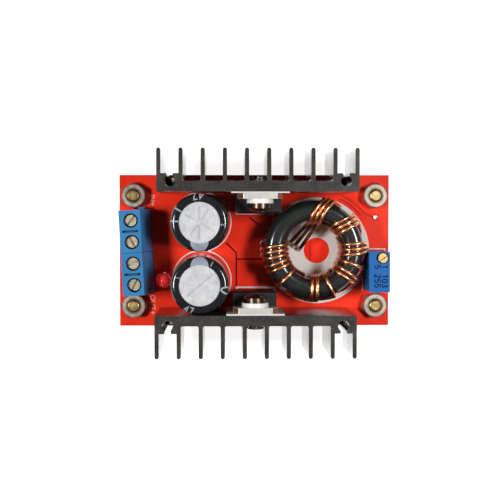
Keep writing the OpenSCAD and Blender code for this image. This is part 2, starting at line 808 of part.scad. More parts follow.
can_r = cap_d / 2 - sleeve_t - sleeve_gap;
can_top = cap_h - sleeve_t - sleeve_gap;
can_round = 0.8;
groove_z = 2.6;
groove_r = 1.2;
can_foot = 0.4;
sleeve_hem = 0.6;
seal_r = can_r - cap_groove - 0.3;
seal_h = 2;
seal_z = 0.1;

// Half section of the can's outside, set out by t
module can_section(t) {
    r = can_r + t;
    top = can_top + t;
    edge = can_round + t;
    difference() {
        union() {
            translate([0, can_foot - t]) square([r, top - edge - can_foot + t]);
            translate([0, top - edge - eps]) square([r - edge, edge + eps]);
            translate([r - edge, top - edge]) circle(r = edge);
        }
        translate([can_r + groove_r - cap_groove, groove_z]) circle(r = groove_r - t);
    }
}

module capacitor_can(i) {
    score = [cap_bare_d * 0.8, 0.3, 0.3];
    score_turn = i == 0 ? [-30, 55, 90] : [40];
    color(silver) on_board() translate(cap_at[i]) difference() {
        rotate_extrude() can_section(0);
        translate([0, 0, can_foot - 1]) cylinder(r = seal_r, h = seal_h + 1);
        for (a = score_turn) rotate(a) translate([0, 0, can_top]) cube(score, center = true);
    }
}

module capacitor_sleeve(i) {
    color(black) on_board() translate(cap_at[i]) rotate_extrude() difference() {
        can_section(sleeve_gap + sleeve_t);
        can_section(sleeve_gap);
        translate([0, cap_h / 2]) square([cap_bare_d / 2, cap_h]);
        square([can_r - sleeve_hem, cap_h / 2]);
    }
}

module capacitor_seal(i) {
    color(black) on_board() translate(cap_at[i]) difference() {
        translate([0, 0, seal_z]) cylinder(r = seal_r - sleeve_gap, h = can_foot + seal_h - seal_z);
        for (s = [-1, 1]) translate([0, s * cap_lead_pitch / 2, -1])
            cylinder(d = cap_lead_d + 2 * sleeve_gap, h = can_foot + seal_h + 2);
    }
}

module capacitor_leads(i) {
    color(tin) on_board() for (s = [-1, 1]) translate(cap_at[i] + [0, s * cap_lead_pitch / 2])
        translate([0, 0, tail_z]) cylinder(d = cap_lead_d, h = can_foot + seal_h - tail_z);
}

module capacitor_can_1() { capacitor_can(0); }
module capacitor_sleeve_1() { capacitor_sleeve(0); }
module capacitor_seal_1() { capacitor_seal(0); }
module capacitor_leads_1() { capacitor_leads(0); }
module capacitor_can_2() { capacitor_can(1); }
module capacitor_sleeve_2() { capacitor_sleeve(1); }
module capacitor_seal_2() { capacitor_seal(1); }
module capacitor_leads_2() { capacitor_leads(1); }

// Inductor

module at_core() {
    on_board() translate([core_x, core_y, 0]) children();
}

module inductor_core() {
    w = core_r - core_id / 2;
    color(black) at_core() translate([0, 0, core_z]) rotate_extrude() translate([core_id / 2, 0]) {
        translate([core_round, 0]) square([w - 2 * core_round, core_h]);
        translate([0, core_round]) square([w, core_h - 2 * core_round]);
        for (x = [core_round, w - core_round], z = [core_round, core_h - core_round])
            translate([x, z]) circle(r = core_round);
    }
}

function polar(p, a) = [p[0] * cos(a), p[0] * sin(a), p[1]];
function between(a, b, t) = a + (b - a) * t;
function inward(p) = (path_out - p[0]) / (path_out - path_in);

// Points of a quarter turn about c, as radius and height. Its straight pieces touch the arc from outside.
bend_steps = [15, 45, 75];
bend_corner = bend_r / cos(15);
function bend(c, from) = [for (s = bend_steps) c + bend_corner * [cos(from - s), sin(from - s)]];

// Centres of the bends, and the points of a turn over the top of the core and back under it
bend_in = path_in + bend_r;
bend_out = path_out - bend_r;
bend_up = path_high - bend_r;
bend_down = path_low + bend_r;
over_top = concat(bend([bend_in, bend_up], 180), bend([bend_out, bend_up], 90));
under_core = concat(bend([bend_out, bend_down], 0), bend([bend_in, bend_down], -90));
// Share of the way to the next turn that is done on the rim, turn by turn, and where the hole begins
rim_share = [0.36, 0.36, 0.36, 0.36, 0.36, 0.1];
hole_share = 0.64;
rim_steps = [1 / 3, 2 / 3];
// Extra angle between the strands where they slant into the hole
hole_spread = 1.6;

function turn_over(i, j) = [
    for (p = over_top) polar(p, between(strand_out[i][j], strand_in[i][j], inward(p)))
];
function turn_down(i, j) = [
    for (t = rim_steps)
        polar([path_out, between(bend_up, bend_down, t)],
            between(strand_out[i][j], strand_in[i + 1][j], rim_share[i] * t))
];
function turn_under(i, j) = [
    for (p = under_core)
        polar(p, between(strand_out[i][j], strand_in[i + 1][j], between(rim_share[i], hole_share, inward(p)))
            + (j - 1) * hole_spread * inward(p))
];

function bezier(p, t) = pow(1 - t, 3) * p[0] + 3 * pow(1 - t, 2) * t * p[1]
    + 3 * (1 - t) * t * t * p[2] + pow(t, 3) * p[3];

// Lead-in from the board up to the hole's edge
function lead_in(j) =
    let (
        a = start_at + (j - 1) * start_step * start_dir,
        b = polar([path_in, bend_up], strand_in[0][j]),
        pull = [0, 0, start_pull],
        p = [[a[0], a[1], start_z], [a[0], a[1], start_z] + pull, b - pull, b]
    )
    concat([[a[0], a[1], tail_z]], [for (t = [0 : 0.2 : 0.9]) bezier(p, t)]);

// Lead-out down the rim and through the board
function lead_out(j) =
    let (a = strand_out[turns - 1][j], b = strand_end[j])
    concat(
        [for (t = [0.35, 0.7, 1]) polar([path_out, between(bend_up, end_z, t)], between(a, b, t))],
        [polar([path_out, tail_z], b)]
    );

function strand(j) = concat(
    lead_in(j),
    [for (i = [0 : turns - 1])
        each concat(turn_over(i, j), i < turns - 1 ? concat(turn_down(i, j), turn_under(i, j)) : [])],
    lead_out(j)
);

function unit(v) = v / norm(v);
function course(path, k) = unit(path[min(k + 1, len(path) - 1)] - path[max(k - 1, 0)]);

// A frame carried along the path without twist
function carried(path, k, side) =
    let (t = course(path, k), s = unit(side - (side * t) * t))
    k == len(path) - 1 ? [s] : concat([s], carried(path, k + 1, s));

module tube(path, d, sides = 8) {
    n = len(path);
    s = carried(path, 0, [1, 0, 0]);
    ring = [
        for (k = [0 : n - 1], m = [0 : sides - 1])
            let (t = course(path, k), a = 360 * m / sides)
            path[k] + d / 2 * (cos(a) * s[k] + sin(a) * cross(t, s[k]))
    ];
    wall = [
        for (k = [0 : n - 2], m = [0 : sides - 1])
            let (a = k * sides + m, b = k * sides + (m + 1) % sides)
            each [[a, a + sides, b], [b, a + sides, b + sides]]
    ];
    first = [for (m = [0 : sides - 1]) m];
    last = [for (m = [sides - 1 : -1 : 0]) (n - 1) * sides + m];
    polyhedron(ring, concat(wall, [first, last]));
}

module inductor_winding() {
    color(copper) at_core() for (j = [0:2]) tube(strand(j), wire_d);
}

// Lamp

module lamp_lens() {
    flat = 0.4;
    color([0.8, 0.1, 0.1]) on_board() translate([lamp_x, lamp_y, lamp_seat]) {
        difference() {
            cylinder(d = lamp_flange_d, h = lamp_flange_t);
            translate([-lamp_flange_d, lamp_flange_d / 2 - flat, -1])
                cube([2 * lamp_flange_d, 2, lamp_flange_t + 2]);
        }
        cylinder(d = lamp_d, h = lamp_h - lamp_seat - lamp_d / 2);
        translate([0, 0, lamp_h - lamp_seat - lamp_d / 2]) sphere(d = lamp_d);
    }
}

module lamp_leads() {
    color(tin) on_board() for (p = lamp_lead_at)
        translate([p[0] - lamp_lead_w / 2, p[1] - lamp_lead_w / 2, tail_z])
            cube([lamp_lead_w, lamp_lead_w, lamp_seat - tail_z]);
}

// Trimmer

module at_trimmer() {
    on_board() translate([trimmer_x, trimmer_y, 0]) children();
}

module trimmer_body() {
    clip = 0.25;
    foot_l = 1.2;
    w = trimmer_w / 2;
    l = trimmer_l / 2;
    color(blue) at_trimmer() difference() {
        union() {
            translate([0, 0, trimmer_foot]) linear_extrude(trimmer_h - trimmer_foot) polygon([
                [-w + clip, -l], [w - clip, -l], [w, -l + clip], [w, l - clip],
                [w - clip, l], [-w + clip, l], [-w, l - clip], [-w, -l + clip]
            ]);
            for (s = [-1, 1]) translate([-w + clip, s * (l - clip - foot_l / 2) - foot_l / 2, 0])
                cube([trimmer_w - 2 * clip, foot_l, trimmer_foot + eps]);
        }
        translate(trimmer_screw_at) {
            translate([0, 0, trimmer_bore_z])
                cylinder(d = trimmer_screw_d + 2 * thread_gap, h = trimmer_h);
            translate([0, 0, trimmer_h - trimmer_recess]) cylinder(d = trimmer_screw_d + 0.6, h = 1);
        }
    }
}

module trimmer_screw() {
    slot = [trimmer_screw_d + 1, 0.5, 1.2];
    top = trimmer_h + trimmer_screw_over;
    color(brass) at_trimmer() translate(trimmer_screw_at) difference() {
        translate([0, 0, trimmer_bore_z + end_play])
            cylinder(d = trimmer_screw_d, h = top - trimmer_bore_z - end_play);
        translate([0, 0, top]) rotate(35) cube(slot, center = true);
    }
}

module trimmer_leads() {
    color(tin) on_board() for (p = trimmer_lead_at)
        translate([p[0], p[1], tail_z]) cylinder(d = trimmer_lead_d, h = trimmer_foot - tail_z);
}

// Parts on the underside, in a frame with z = 0 on the underside and +Z down

chip_at = [core_x + 2.5, core_y + 3];
chip_seat = 0.1;
smd_step = 2.6;
smd_r_row = 6.2;
smd_c_row = 8.6;
smd_r_at = [for (i = [0:3], s = [-1, 1]) chip_at + [(i - 1.5) * smd_step, s * smd_r_row]];
smd_c_at = [for (i = [0:3]) chip_at + [(i - 1.5) * smd_step, -smd_c_row]];
shunt_at = [core_x - 10.5, core_y - 6];

module controller_chip() {
    color(black) under_board() translate(concat(chip_at, [chip_seat])) difference() {
        translate([-chip_l / 2, -chip_w / 2, 0]) cube([chip_l, chip_w, chip_t]);
        translate([-chip_l / 2 + 0.9, -chip_w / 2 + 0.9, chip_t - 0.1]) cylinder(d = 0.8, h = 1);
    }
}

module controller_pins() {
    pin_w = 0.4;
    t = 0.2;
    reach = 1.05;
    mid = chip_seat + chip_t / 2;
    color(tin) under_board() translate(chip_at) for (s = [0, 1], i = [0:3]) mirror([0, s, 0])
        translate([(i - 1.5) * chip_pitch - pin_w / 2, chip_w / 2, 0]) rotate([90, 0, 90])
            linear_extrude(pin_w) polygon([
                [0, mid], [reach * 0.4, mid], [reach * 0.55, 0], [reach, 0],
                [reach, t], [reach * 0.7, t], [reach * 0.55, mid + t], [0, mid + t]
            ]);
}

cap_end = 0.35;

module smd_body(p, t) {
    under_board() translate([p[0] - smd_w / 2, p[1] - smd_l / 2 + cap_end, 0])
        cube([smd_w, smd_l - 2 * cap_end, t]);
}

module smd_ends(p, t) {
    under_board() for (s = [-1, 1])
        translate([p[0] - smd_w / 2, p[1] + s * (smd_l - cap_end) / 2 - cap_end / 2, 0])
            cube([smd_w, cap_end, t]);
}

module chip_resistors() {
    color(black) for (p = smd_r_at) smd_body(p, smd_r_t);
}

module chip_capacitors() {
    color([0.7, 0.55, 0.4]) for (p = smd_c_at) smd_body(p, smd_c_t);
}

module chip_end_caps() {
    color(tin) {
        for (p = smd_r_at) smd_ends(p, smd_r_t);
        for (p = smd_c_at) smd_ends(p, smd_c_t);
    }
}

module sense_resistor() {
    color(black) under_board() translate([shunt_at[0] - shunt_l / 2, shunt_at[1] - shunt_w / 2, 0])
        cube([shunt_l, shunt_w, shunt_t]);
}

circuit_board();
solder_joints();
standoffs();
standoff_nuts();
heatsink_upper();
heatsink_lower();
heatsink_screws();
rectifier_tab();
rectifier_body();
rectifier_leads();
rectifier_pad();
rectifier_bush();
rectifier_screw();
switch_tab();
switch_body();
switch_leads();
switch_pad();
switch_bush();
switch_screw();
output_terminal_housing();
input_terminal_housing();
terminal_pins();
terminal_screw_1();
terminal_screw_2();
terminal_screw_3();
terminal_screw_4();
wire_clamp_1();
wire_clamp_2();
wire_clamp_3();
wire_clamp_4();
capacitor_can_1();
capacitor_sleeve_1();
capacitor_seal_1();
capacitor_leads_1();
capacitor_can_2();
capacitor_sleeve_2();
capacitor_seal_2();
capacitor_leads_2();
inductor_core();
inductor_winding();
lamp_lens();
lamp_leads();
trimmer_body();
trimmer_screw();
trimmer_leads();
controller_chip();
controller_pins();
chip_resistors();
chip_capacitors();
chip_end_caps();
sense_resistor();
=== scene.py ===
import json
import math
import random

import bmesh
import bpy
from mathutils import Matrix, Vector


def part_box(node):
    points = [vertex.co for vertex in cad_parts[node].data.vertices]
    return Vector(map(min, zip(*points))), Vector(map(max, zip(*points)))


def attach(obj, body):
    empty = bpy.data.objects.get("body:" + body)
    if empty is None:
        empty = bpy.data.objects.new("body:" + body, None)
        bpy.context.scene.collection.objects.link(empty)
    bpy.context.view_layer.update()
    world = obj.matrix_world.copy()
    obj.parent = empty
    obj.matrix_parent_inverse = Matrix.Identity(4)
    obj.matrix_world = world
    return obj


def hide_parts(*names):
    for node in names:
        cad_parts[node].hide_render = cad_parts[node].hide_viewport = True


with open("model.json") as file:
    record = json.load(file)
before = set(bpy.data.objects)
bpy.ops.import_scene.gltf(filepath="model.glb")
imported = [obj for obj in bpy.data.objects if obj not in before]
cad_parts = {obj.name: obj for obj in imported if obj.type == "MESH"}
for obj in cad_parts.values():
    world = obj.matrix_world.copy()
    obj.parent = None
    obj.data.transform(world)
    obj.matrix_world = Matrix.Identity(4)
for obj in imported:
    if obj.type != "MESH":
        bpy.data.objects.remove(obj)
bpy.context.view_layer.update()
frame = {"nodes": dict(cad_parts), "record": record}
rng = random.Random(7)
MM = 0.001
ROOT = "module"
nodes = frame["nodes"]


# Places taken from the frame, in millimetres

def box_mm(node):
    low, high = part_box(node)
    return Vector(low) / MM, Vector(high) / MM


def middle(node):
    low, high = box_mm(node)
    return (low + high) / 2


BOARD_LOW, BOARD_HIGH = box_mm("circuit_board")
Z_TOP = BOARD_HIGH.z
Z_UNDER = BOARD_LOW.z
CORE = middle("inductor_core")
CORE_LOW, CORE_HIGH = box_mm("inductor_core")
CAPS = [middle("capacitor_sleeve_1"), middle("capacitor_sleeve_2")]
CAP_TOP = box_mm("capacitor_sleeve_1")[1].z
LAMP = middle("lamp_lens")
LAMP_LOW, LAMP_HIGH = box_mm("lamp_lens")
TRIMMER = middle("trimmer_body")
TRIMMER_LOW, TRIMMER_HIGH = box_mm("trimmer_body")
BOLTS = next(m for m in frame["record"]["mounts"] if m["kind"] == "bolt_pattern")["dims"]
HOLE_X = BOLTS["spacing_x_mm"] / 2
HOLE_Y = BOLTS["spacing_y_mm"] / 2
HOLES = [(x, y) for x in (-HOLE_X, HOLE_X) for y in (-HOLE_Y, HOLE_Y)]

# Capacitor sleeve: its radius, inner edge and round of its lip, half width of the pale mark on the lip
CAP_R, LIP_R, LIP_ROUND, LIP_MARK = 6.5, 4.6, 1.02, 2.1


# Materials

class Nodes:
    """A small helper that builds a node tree."""

    def __init__(self, owner):
        owner.use_nodes = True
        self.tree = owner.node_tree

    def add(self, kind, **settings):
        node = self.tree.nodes.new("ShaderNode" + kind)
        for key, value in settings.items():
            setattr(node, key, value)
        return node

    def link(self, source, target):
        self.tree.links.new(source, target)

    def feed(self, socket, value):
        """Links a socket, or writes a number or colour on it."""
        if isinstance(value, bpy.types.NodeSocket):
            self.link(value, socket)
        elif isinstance(value, tuple) and len(value) == 3 and socket.type == "RGBA":
            socket.default_value = (*value, 1.0)
        else:
            socket.default_value = value

    def math(self, operation, a, b=0.0):
        node = self.add("Math", operation=operation)
        self.feed(node.inputs[0], a)
        self.feed(node.inputs[1], b)
        return node.outputs[0]

    def times(self, a, b):
        return self.math("MULTIPLY", a, b)

    def minus(self, a, b):
        return self.math("SUBTRACT", a, b)

    def below(self, a, b):
        return self.math("LESS_THAN", a, b)

    def span(self, value, low, high, to_low=0.0, to_high=1.0):
        """A value from low to high, as a number from to_low to to_high."""
        node = self.add("MapRange")
        limits = {"From Min": low, "From Max": high, "To Min": to_low, "To Max": to_high}
        for key, number in limits.items():
            node.inputs[key].default_value = number
        self.link(value, node.inputs["Value"])
        return node.outputs["Result"]

    def rays(self, kinds, others, named):
        """One number for the kinds of light ray that are named, and another for the others."""
        path = self.add("LightPath").outputs
        total = path[kinds[0]]
        for kind in kinds[1:]:
            total = self.math("MAXIMUM", total, path[kind])
        return self.span(total, 0.0, 1.0, others, named)


class Finish(Nodes):
    """The node tree of one material."""

    # Most of a noise lies between these values
    NOISE_LOW, NOISE_HIGH = 0.3, 0.7

    def __init__(self, name):
        self.material = bpy.data.materials.new(name)
        super().__init__(self.material)
        self.shader = self.tree.nodes["Principled BSDF"]
        self.coords = self.add("TexCoord").outputs["Object"]

    def set(self, **values):
        for key, value in values.items():
            self.feed(self.shader.inputs[key.replace("_", " ")], value)

    def axis(self, letter):
        """Position along one axis of the row frame, in millimetres."""
        split = self.add("SeparateXYZ")
        self.link(self.coords, split.inputs[0])
        return self.times(split.outputs[letter], 1 / MM)

    def facing(self, letter):
        """Part of the face's own normal along one axis."""
        split = self.add("SeparateXYZ")
        self.link(self.add("NewGeometry").outputs["True Normal"], split.inputs[0])
        return split.outputs[letter]

    def offset(self, centre):
        """Position from a centre along X and Y, in millimetres."""
        return [self.minus(self.axis(letter), place) for letter, place in zip("XY", centre)]

    def length(self, x, y):
        """Length of a line that goes x along one axis and y along the other."""
        return self.math("SQRT", self.math("ADD", self.times(x, x), self.times(y, y)))

    def stretched(self, scale):
        """Coordinates multiplied by a scale along each axis."""
        node = self.add("Mapping")
        node.inputs["Scale"].default_value = scale
        self.link(self.coords, node.inputs["Vector"])
        return node.outputs["Vector"]

    def noise(self, scale, detail=3.0, vector=None):
        node = self.add("TexNoise")
        node.inputs["Scale"].default_value = scale
        node.inputs["Detail"].default_value = detail
        self.link(vector or self.coords, node.inputs["Vector"])
        return node.outputs["Fac"]

    def ramp(self, fac, stops):
        node = self.add("ValToRGB")
        elements = node.color_ramp.elements
        while len(elements) < len(stops):
            elements.new(0.5)
        for element, (place, colour) in zip(elements, stops):
            element.position = place
            element.color = (*colour, 1.0)
        self.link(fac, node.inputs["Fac"])
        return node.outputs["Color"]

    def tint(self, noise, dark, light):
        """A colour that goes from dark to light with a noise."""
        return self.ramp(noise, [(self.NOISE_LOW, dark), (self.NOISE_HIGH, light)])

    def vary(self, noise, low, high):
        """A number that goes from low to high with a noise."""
        return self.span(noise, self.NOISE_LOW, self.NOISE_HIGH, low, high)

    def mix(self, fac, a, b):
        node = self.add("Mix", data_type="RGBA")
        for socket, value in ((node.inputs[0], fac), (node.inputs[6], a), (node.inputs[7], b)):
            self.feed(socket, value)
        return node.outputs[2]

    def sharp_edge(self, radius):
        """1 on edges sharper than the radius, 0 elsewhere. It marks real wear on the heatsinks, a painted
        highlight on the blue mouldings and painted shade on the cans.
        """
        smooth, sharp = 0.985, 0.90
        bevel = self.add("Bevel", samples=4)
        bevel.inputs["Radius"].default_value = radius * MM
        dot = self.add("VectorMath", operation="DOT_PRODUCT")
        self.link(bevel.outputs["Normal"], dot.inputs[0])
        self.link(self.add("NewGeometry").outputs["Normal"], dot.inputs[1])
        return self.span(dot.outputs["Value"], smooth, sharp)

    def occlusion_shade(self, reach):
        """1 in the open, falling to 0 in holes and grooves, looked at over a reach; used to paint shade
        into a colour.
        """
        node = self.add("AmbientOcclusion", samples=8)
        node.inputs["Distance"].default_value = reach * MM
        return node.outputs["AO"]

    def bump(self, height, strength, distance):
        node = self.add("Bump")
        node.inputs["Strength"].default_value = strength
        node.inputs["Distance"].default_value = distance * MM
        self.link(height, node.inputs["Height"])
        self.link(node.outputs["Normal"], self.shader.inputs["Normal"])


def shade(colour, factor):
    return tuple(min(1.0, c * factor) for c in colour)


def plain(name, colour, rough, metallic=0.0, spread=0.12, grain=900.0, bump=0.0, **sockets):
    """A finish with soft colour and roughness variation and a fine surface grain."""
    n = Finish(name)
    n.set(Metallic=metallic, **sockets)
    broad = n.noise(grain, 4.0)
    tight = n.noise(grain * 6, 3.0)
    n.set(Base_Color=n.tint(broad, shade(colour, 1 - spread), shade(colour, 1 + spread)))
    n.set(Roughness=n.vary(tight, rough * 0.75, rough * 1.25))
    if bump:
        n.bump(tight, bump, 0.02)
    return n.material


def hole_radius(n):
    """Distance from the axis of the nearest of the four holes in the board's corners."""
    off_x = n.minus(n.math("ABSOLUTE", n.axis("X")), HOLE_X)
    off_y = n.minus(n.math("ABSOLUTE", n.axis("Y")), HOLE_Y)
    return n.length(off_x, off_y)


def stud_finish():
    """Brass with the ridges of a thread above the board, with painted shade that makes the studs browner
    towards their rim.
    """
    pitch = 0.5
    unshaded_r, rim_shade_r = 0.70, 1.45
    n = Finish("threaded_brass")
    n.set(Metallic=0.9)
    cloud = n.noise(900.0, 4.0)
    base = n.tint(cloud, (0.32, 0.225, 0.092), (0.46, 0.33, 0.145))
    height = n.axis("Z")
    stud = n.math("GREATER_THAN", height, Z_TOP)
    # painted shade: the studs' tops darken from a bright middle to a brown rim
    rim = n.times(n.span(hole_radius(n), unshaded_r, rim_shade_r), stud)
    n.set(Base_Color=n.mix(rim, base, (0.17, 0.105, 0.042)), Roughness=n.vary(cloud, 0.26, 0.38))
    ridge = n.times(n.math("PINGPONG", height, pitch / 2), 2 / pitch)
    n.bump(n.times(ridge, stud), 0.8, 0.2)
    return n.material


def board_finish():
    """Red solder mask over a fine weave, and the board's layers on its cut edges."""
    n = Finish("solder_mask_red")
    n.set(Specular_IOR_Level=0.12)
    level_face = n.span(n.math("ABSOLUTE", n.facing("Z")), 0.4, 0.6)
    cloud = n.noise(120.0, 3.0)
    weave = n.noise(5200.0, 2.0)
    mask = n.tint(cloud, (0.84, 0.029, 0.011), (0.95, 0.041, 0.015))
    mask = n.mix(0.10, mask, n.ramp(weave, [(0.35, (0.60, 0.012, 0.008)), (0.65, (0.95, 0.04, 0.022))]))
    layers = n.noise(900.0, 3.0, n.stretched((1.0, 1.0, 14.0)))
    edge = n.tint(layers, (0.34, 0.10, 0.05), (0.62, 0.33, 0.17))
    n.set(Base_Color=n.mix(level_face, edge, mask), Roughness=n.vary(cloud, 0.20, 0.30))
    n.bump(weave, 0.06, 0.01)
    return n.material


def sink_finish():
    """Black anodised extrusion with drawn streaks, pits, worn edges and a gloss coat on the fins' sides."""
    n = Finish("black_anodised_sink")
    sides = n.span(n.math("ABSOLUTE", n.facing("X")), 0.5, 0.9, 0.15, 1.0)
    n.set(Specular_IOR_Level=0.5, Coat_Weight=sides, Coat_Roughness=0.24, Coat_IOR=1.6)
    drawn = n.noise(2600.0, 4.0, n.stretched((1.0, 1.0, 0.03)))
    cloud = n.noise(300.0, 5.0)
    pits = n.span(n.noise(2300.0, 2.0), 0.62, 0.72)
    base = n.tint(drawn, (0.022, 0.020, 0.018), (0.036, 0.033, 0.030))
    base = n.mix(0.5, base, n.ramp(cloud, [(0.35, (0.019, 0.018, 0.017)), (0.7, (0.044, 0.040, 0.036))]))
    base = n.mix(n.times(pits, 0.5), base, (0.11, 0.10, 0.09))
    worn = n.times(n.sharp_edge(0.16), n.span(n.noise(420.0, 5.0), 0.52, 0.68, 0.0, 0.85))
    n.set(Base_Color=n.mix(worn, base, (0.42, 0.40, 0.38)), Roughness=n.vary(cloud, 0.16, 0.26))
    n.bump(drawn, 0.06, 0.02)
    return n.material


def blue_finish(name, colour):
    """Blue moulding, with a painted highlight that makes its edges paler and painted shade that darkens its
    holes and grooves.
    """
    n = Finish(name)
    n.set(Specular_IOR_Level=0.2, Subsurface_Weight=0.05, Subsurface_Radius=(0.0004, 0.0006, 0.0012))
    cloud = n.noise(210.0, 3.0)
    grain = n.noise(6200.0, 2.0)
    base = n.ramp(cloud, [(0.25, shade(colour, 0.86)), (0.75, shade(colour, 1.12))])
    # painted highlight: edges sharper than 0.12 mm turn paler blue
    pale = n.times(n.sharp_edge(0.12), 0.35)
    base = n.mix(pale, base, (0.10, 0.33, 0.70))
    # painted shade: the colour falls to near black in holes and grooves
    unshaded = n.span(n.occlusion_shade(1.2), 0.15, 0.75)
    n.set(Base_Color=n.mix(unshaded, shade(colour, 0.06), base), Roughness=n.vary(grain, 0.26, 0.40))
    n.bump(grain, 0.15, 0.012)
    return n.material


def can_finish():
    """Drawn aluminium, cloudy, with painted shade that darkens it along sharp edges such as the score
    lines.
    """
    n = Finish("drawn_aluminium")
    n.set(Metallic=0.35)
    grain = n.noise(3600.0, 4.0, n.stretched((1.0, 0.35, 1.0)))
    cloud = n.noise(520.0, 5.0)
    base = n.tint(grain, (0.38, 0.38, 0.39), (0.51, 0.51, 0.52))
    base = n.mix(0.45, base, n.ramp(cloud, [(0.35, (0.33, 0.33, 0.35)), (0.7, (0.57, 0.57, 0.57))]))
    # painted shade on sharp edges, such as those of the score lines
    score_shade = n.times(n.sharp_edge(0.20), 0.6)
    n.set(Base_Color=n.mix(score_shade, base, (0.24, 0.24, 0.25)), Roughness=n.vary(grain, 0.40, 0.56))
    n.bump(grain, 0.22, 0.02)
    return n.material


def sleeve_finish(name, centre, side):
    """Black shrink sleeve with a pale stripe and dark minus bars on one side, at a turn in degrees."""
    half_stripe, half_bar, soft = math.radians(18.0), math.radians(6.0), 0.01
    stripe_top, bars_top = CAP_TOP - LIP_ROUND - 0.6, CAP_TOP - 3.0
    half_pitch, half_height = 2.5, 0.35
    n = Finish(name)
    n.set(Coat_Weight=0.15, Coat_Roughness=0.06)
    off_x, off_y = n.offset(centre)
    height = n.axis("Z")
    aside = n.math("ABSOLUTE", n.minus(n.math("ARCTAN2", off_y, off_x), math.radians(side)))
    reach = n.length(off_x, off_y)
    outward = n.span(reach, LIP_R, CAP_R)
    rounded = n.math("SQRT", n.minus(1.0, n.times(outward, outward)))
    on_lip = n.below(n.times(aside, reach), n.times(rounded, LIP_MARK))
    on_side = n.below(height, stripe_top)
    on_side = n.times(on_side, n.span(aside, half_stripe + soft, half_stripe - soft))
    stripe = n.math("MAXIMUM", on_lip, on_side)
    along = n.math("PINGPONG", n.minus(height, Z_TOP), half_pitch)
    bar = n.times(n.below(aside, half_bar), n.below(along, half_height))
    bar = n.times(bar, n.below(height, bars_top))
    cloud = n.noise(500.0, 4.0)
    black = n.tint(cloud, (0.004, 0.005, 0.006), (0.008, 0.009, 0.011))
    pale = n.tint(cloud, (0.19, 0.22, 0.26), (0.27, 0.30, 0.35))
    n.set(Base_Color=n.mix(stripe, black, n.mix(bar, pale, (0.03, 0.035, 0.045))))
    n.set(Roughness=n.vary(cloud, 0.10, 0.18))
    n.bump(n.noise(900.0, 3.0), 0.05, 0.02)
    return n.material


def copper_finish():
    """Enamelled copper, with painted shade that turns it brown inside the core, and tinned where the
    strands leave the board there.
    """
    unshaded_r, shaded_r = 6.1, 5.7
    enamel_r, bare_r = 5.95, 5.8
    enamel_z, bare_z, ragged = Z_TOP + 3.2, Z_TOP + 2.2, 1.5
    n = Finish("enamelled_copper_wire")
    n.set(Metallic=1.0, Coat_Weight=0.5, Coat_Roughness=0.10, Coat_IOR=1.5)
    cloud = n.noise(520.0, 4.0)
    grain = n.noise(5200.0, 3.0)
    enamel = n.ramp(cloud, [(0.25, (0.58, 0.19, 0.075)), (0.6, (0.84, 0.355, 0.155)),
                            (0.85, (0.96, 0.50, 0.27))])
    radius = n.length(*n.offset(CORE))
    low = n.span(n.math("ADD", n.axis("Z"), n.times(cloud, ragged)), enamel_z, bare_z)
    bare = n.times(low, n.span(radius, enamel_r, bare_r))
    # painted shade: strands inside the core's hole turn dark brown
    enamel = n.mix(n.span(radius, unshaded_r, shaded_r), enamel, (0.27, 0.125, 0.072))
    n.set(Base_Color=n.mix(bare, enamel, (0.30, 0.29, 0.27)), Roughness=n.vary(grain, 0.23, 0.35))
    n.bump(grain, 0.08, 0.01)
    return n.material


def nut_finish():
    """Nickel plate on the standoff nuts, with painted shade in a dark brown ring round the bore and on the
    turned corners.
    """
    plate_r, bore_shade_r = 2.05, 1.75
    flat_r, corner_r = 2.45, 2.75
    n = Finish("nickel_nuts")
    n.set(Metallic=0.5)
    radius = hole_radius(n)
    cloud = n.noise(1100.0, 4.0)
    plate = n.tint(cloud, (0.30, 0.238, 0.195), (0.42, 0.333, 0.280))
    # painted shade: a dark brown ring round the bore
    plate = n.mix(n.span(radius, plate_r, bore_shade_r), plate, (0.12, 0.088, 0.040))
    upward = n.math("GREATER_THAN", n.facing("Z"), 0.3)
    # painted shade on the upward faces of the turned corners
    corner = n.times(n.span(radius, flat_r, corner_r), upward)
    plate = n.mix(corner, plate, (0.13, 0.10, 0.085))
    n.set(Base_Color=plate, Roughness=n.vary(cloud, 0.30, 0.46))
    n.bump(n.noise(6600.0, 3.0), 0.10, 0.02)
    return n.material


def lens_finish():
    """Clear red epoxy, with a painted glow that gives it a little light of its own."""
    n = Finish("red_epoxy")
    n.set(Subsurface_Weight=0.7, Subsurface_Scale=1.0, Subsurface_Radius=(0.0022, 0.0003, 0.0003))
    n.set(IOR=1.5, Coat_Weight=0.5, Coat_Roughness=0.05)
    # painted glow: the epoxy gives off weak red light
    n.set(Emission_Color=(1.0, 0.03, 0.03), Emission_Strength=0.16)
    cloud = n.noise(700.0, 3.0)
    n.set(Base_Color=n.tint(cloud, (0.90, 0.020, 0.022), (1.0, 0.045, 0.045)))
    n.set(Roughness=n.vary(cloud, 0.08, 0.16))
    return n.material


board = board_finish()
sink = sink_finish()
terminal_blue = blue_finish("terminal_blue", (0.030, 0.160, 0.345))
trimmer_blue = blue_finish("trimmer_blue", (0.004, 0.095, 0.315))
can = can_finish()
copper = copper_finish()
nuts = nut_finish()
lens = lens_finish()
stud_brass = stud_finish()
sleeves = [sleeve_finish("black_sleeve_upper", CAPS[0].xy, -90.0),
           sleeve_finish("black_sleeve_lower", CAPS[1].xy, 90.0)]

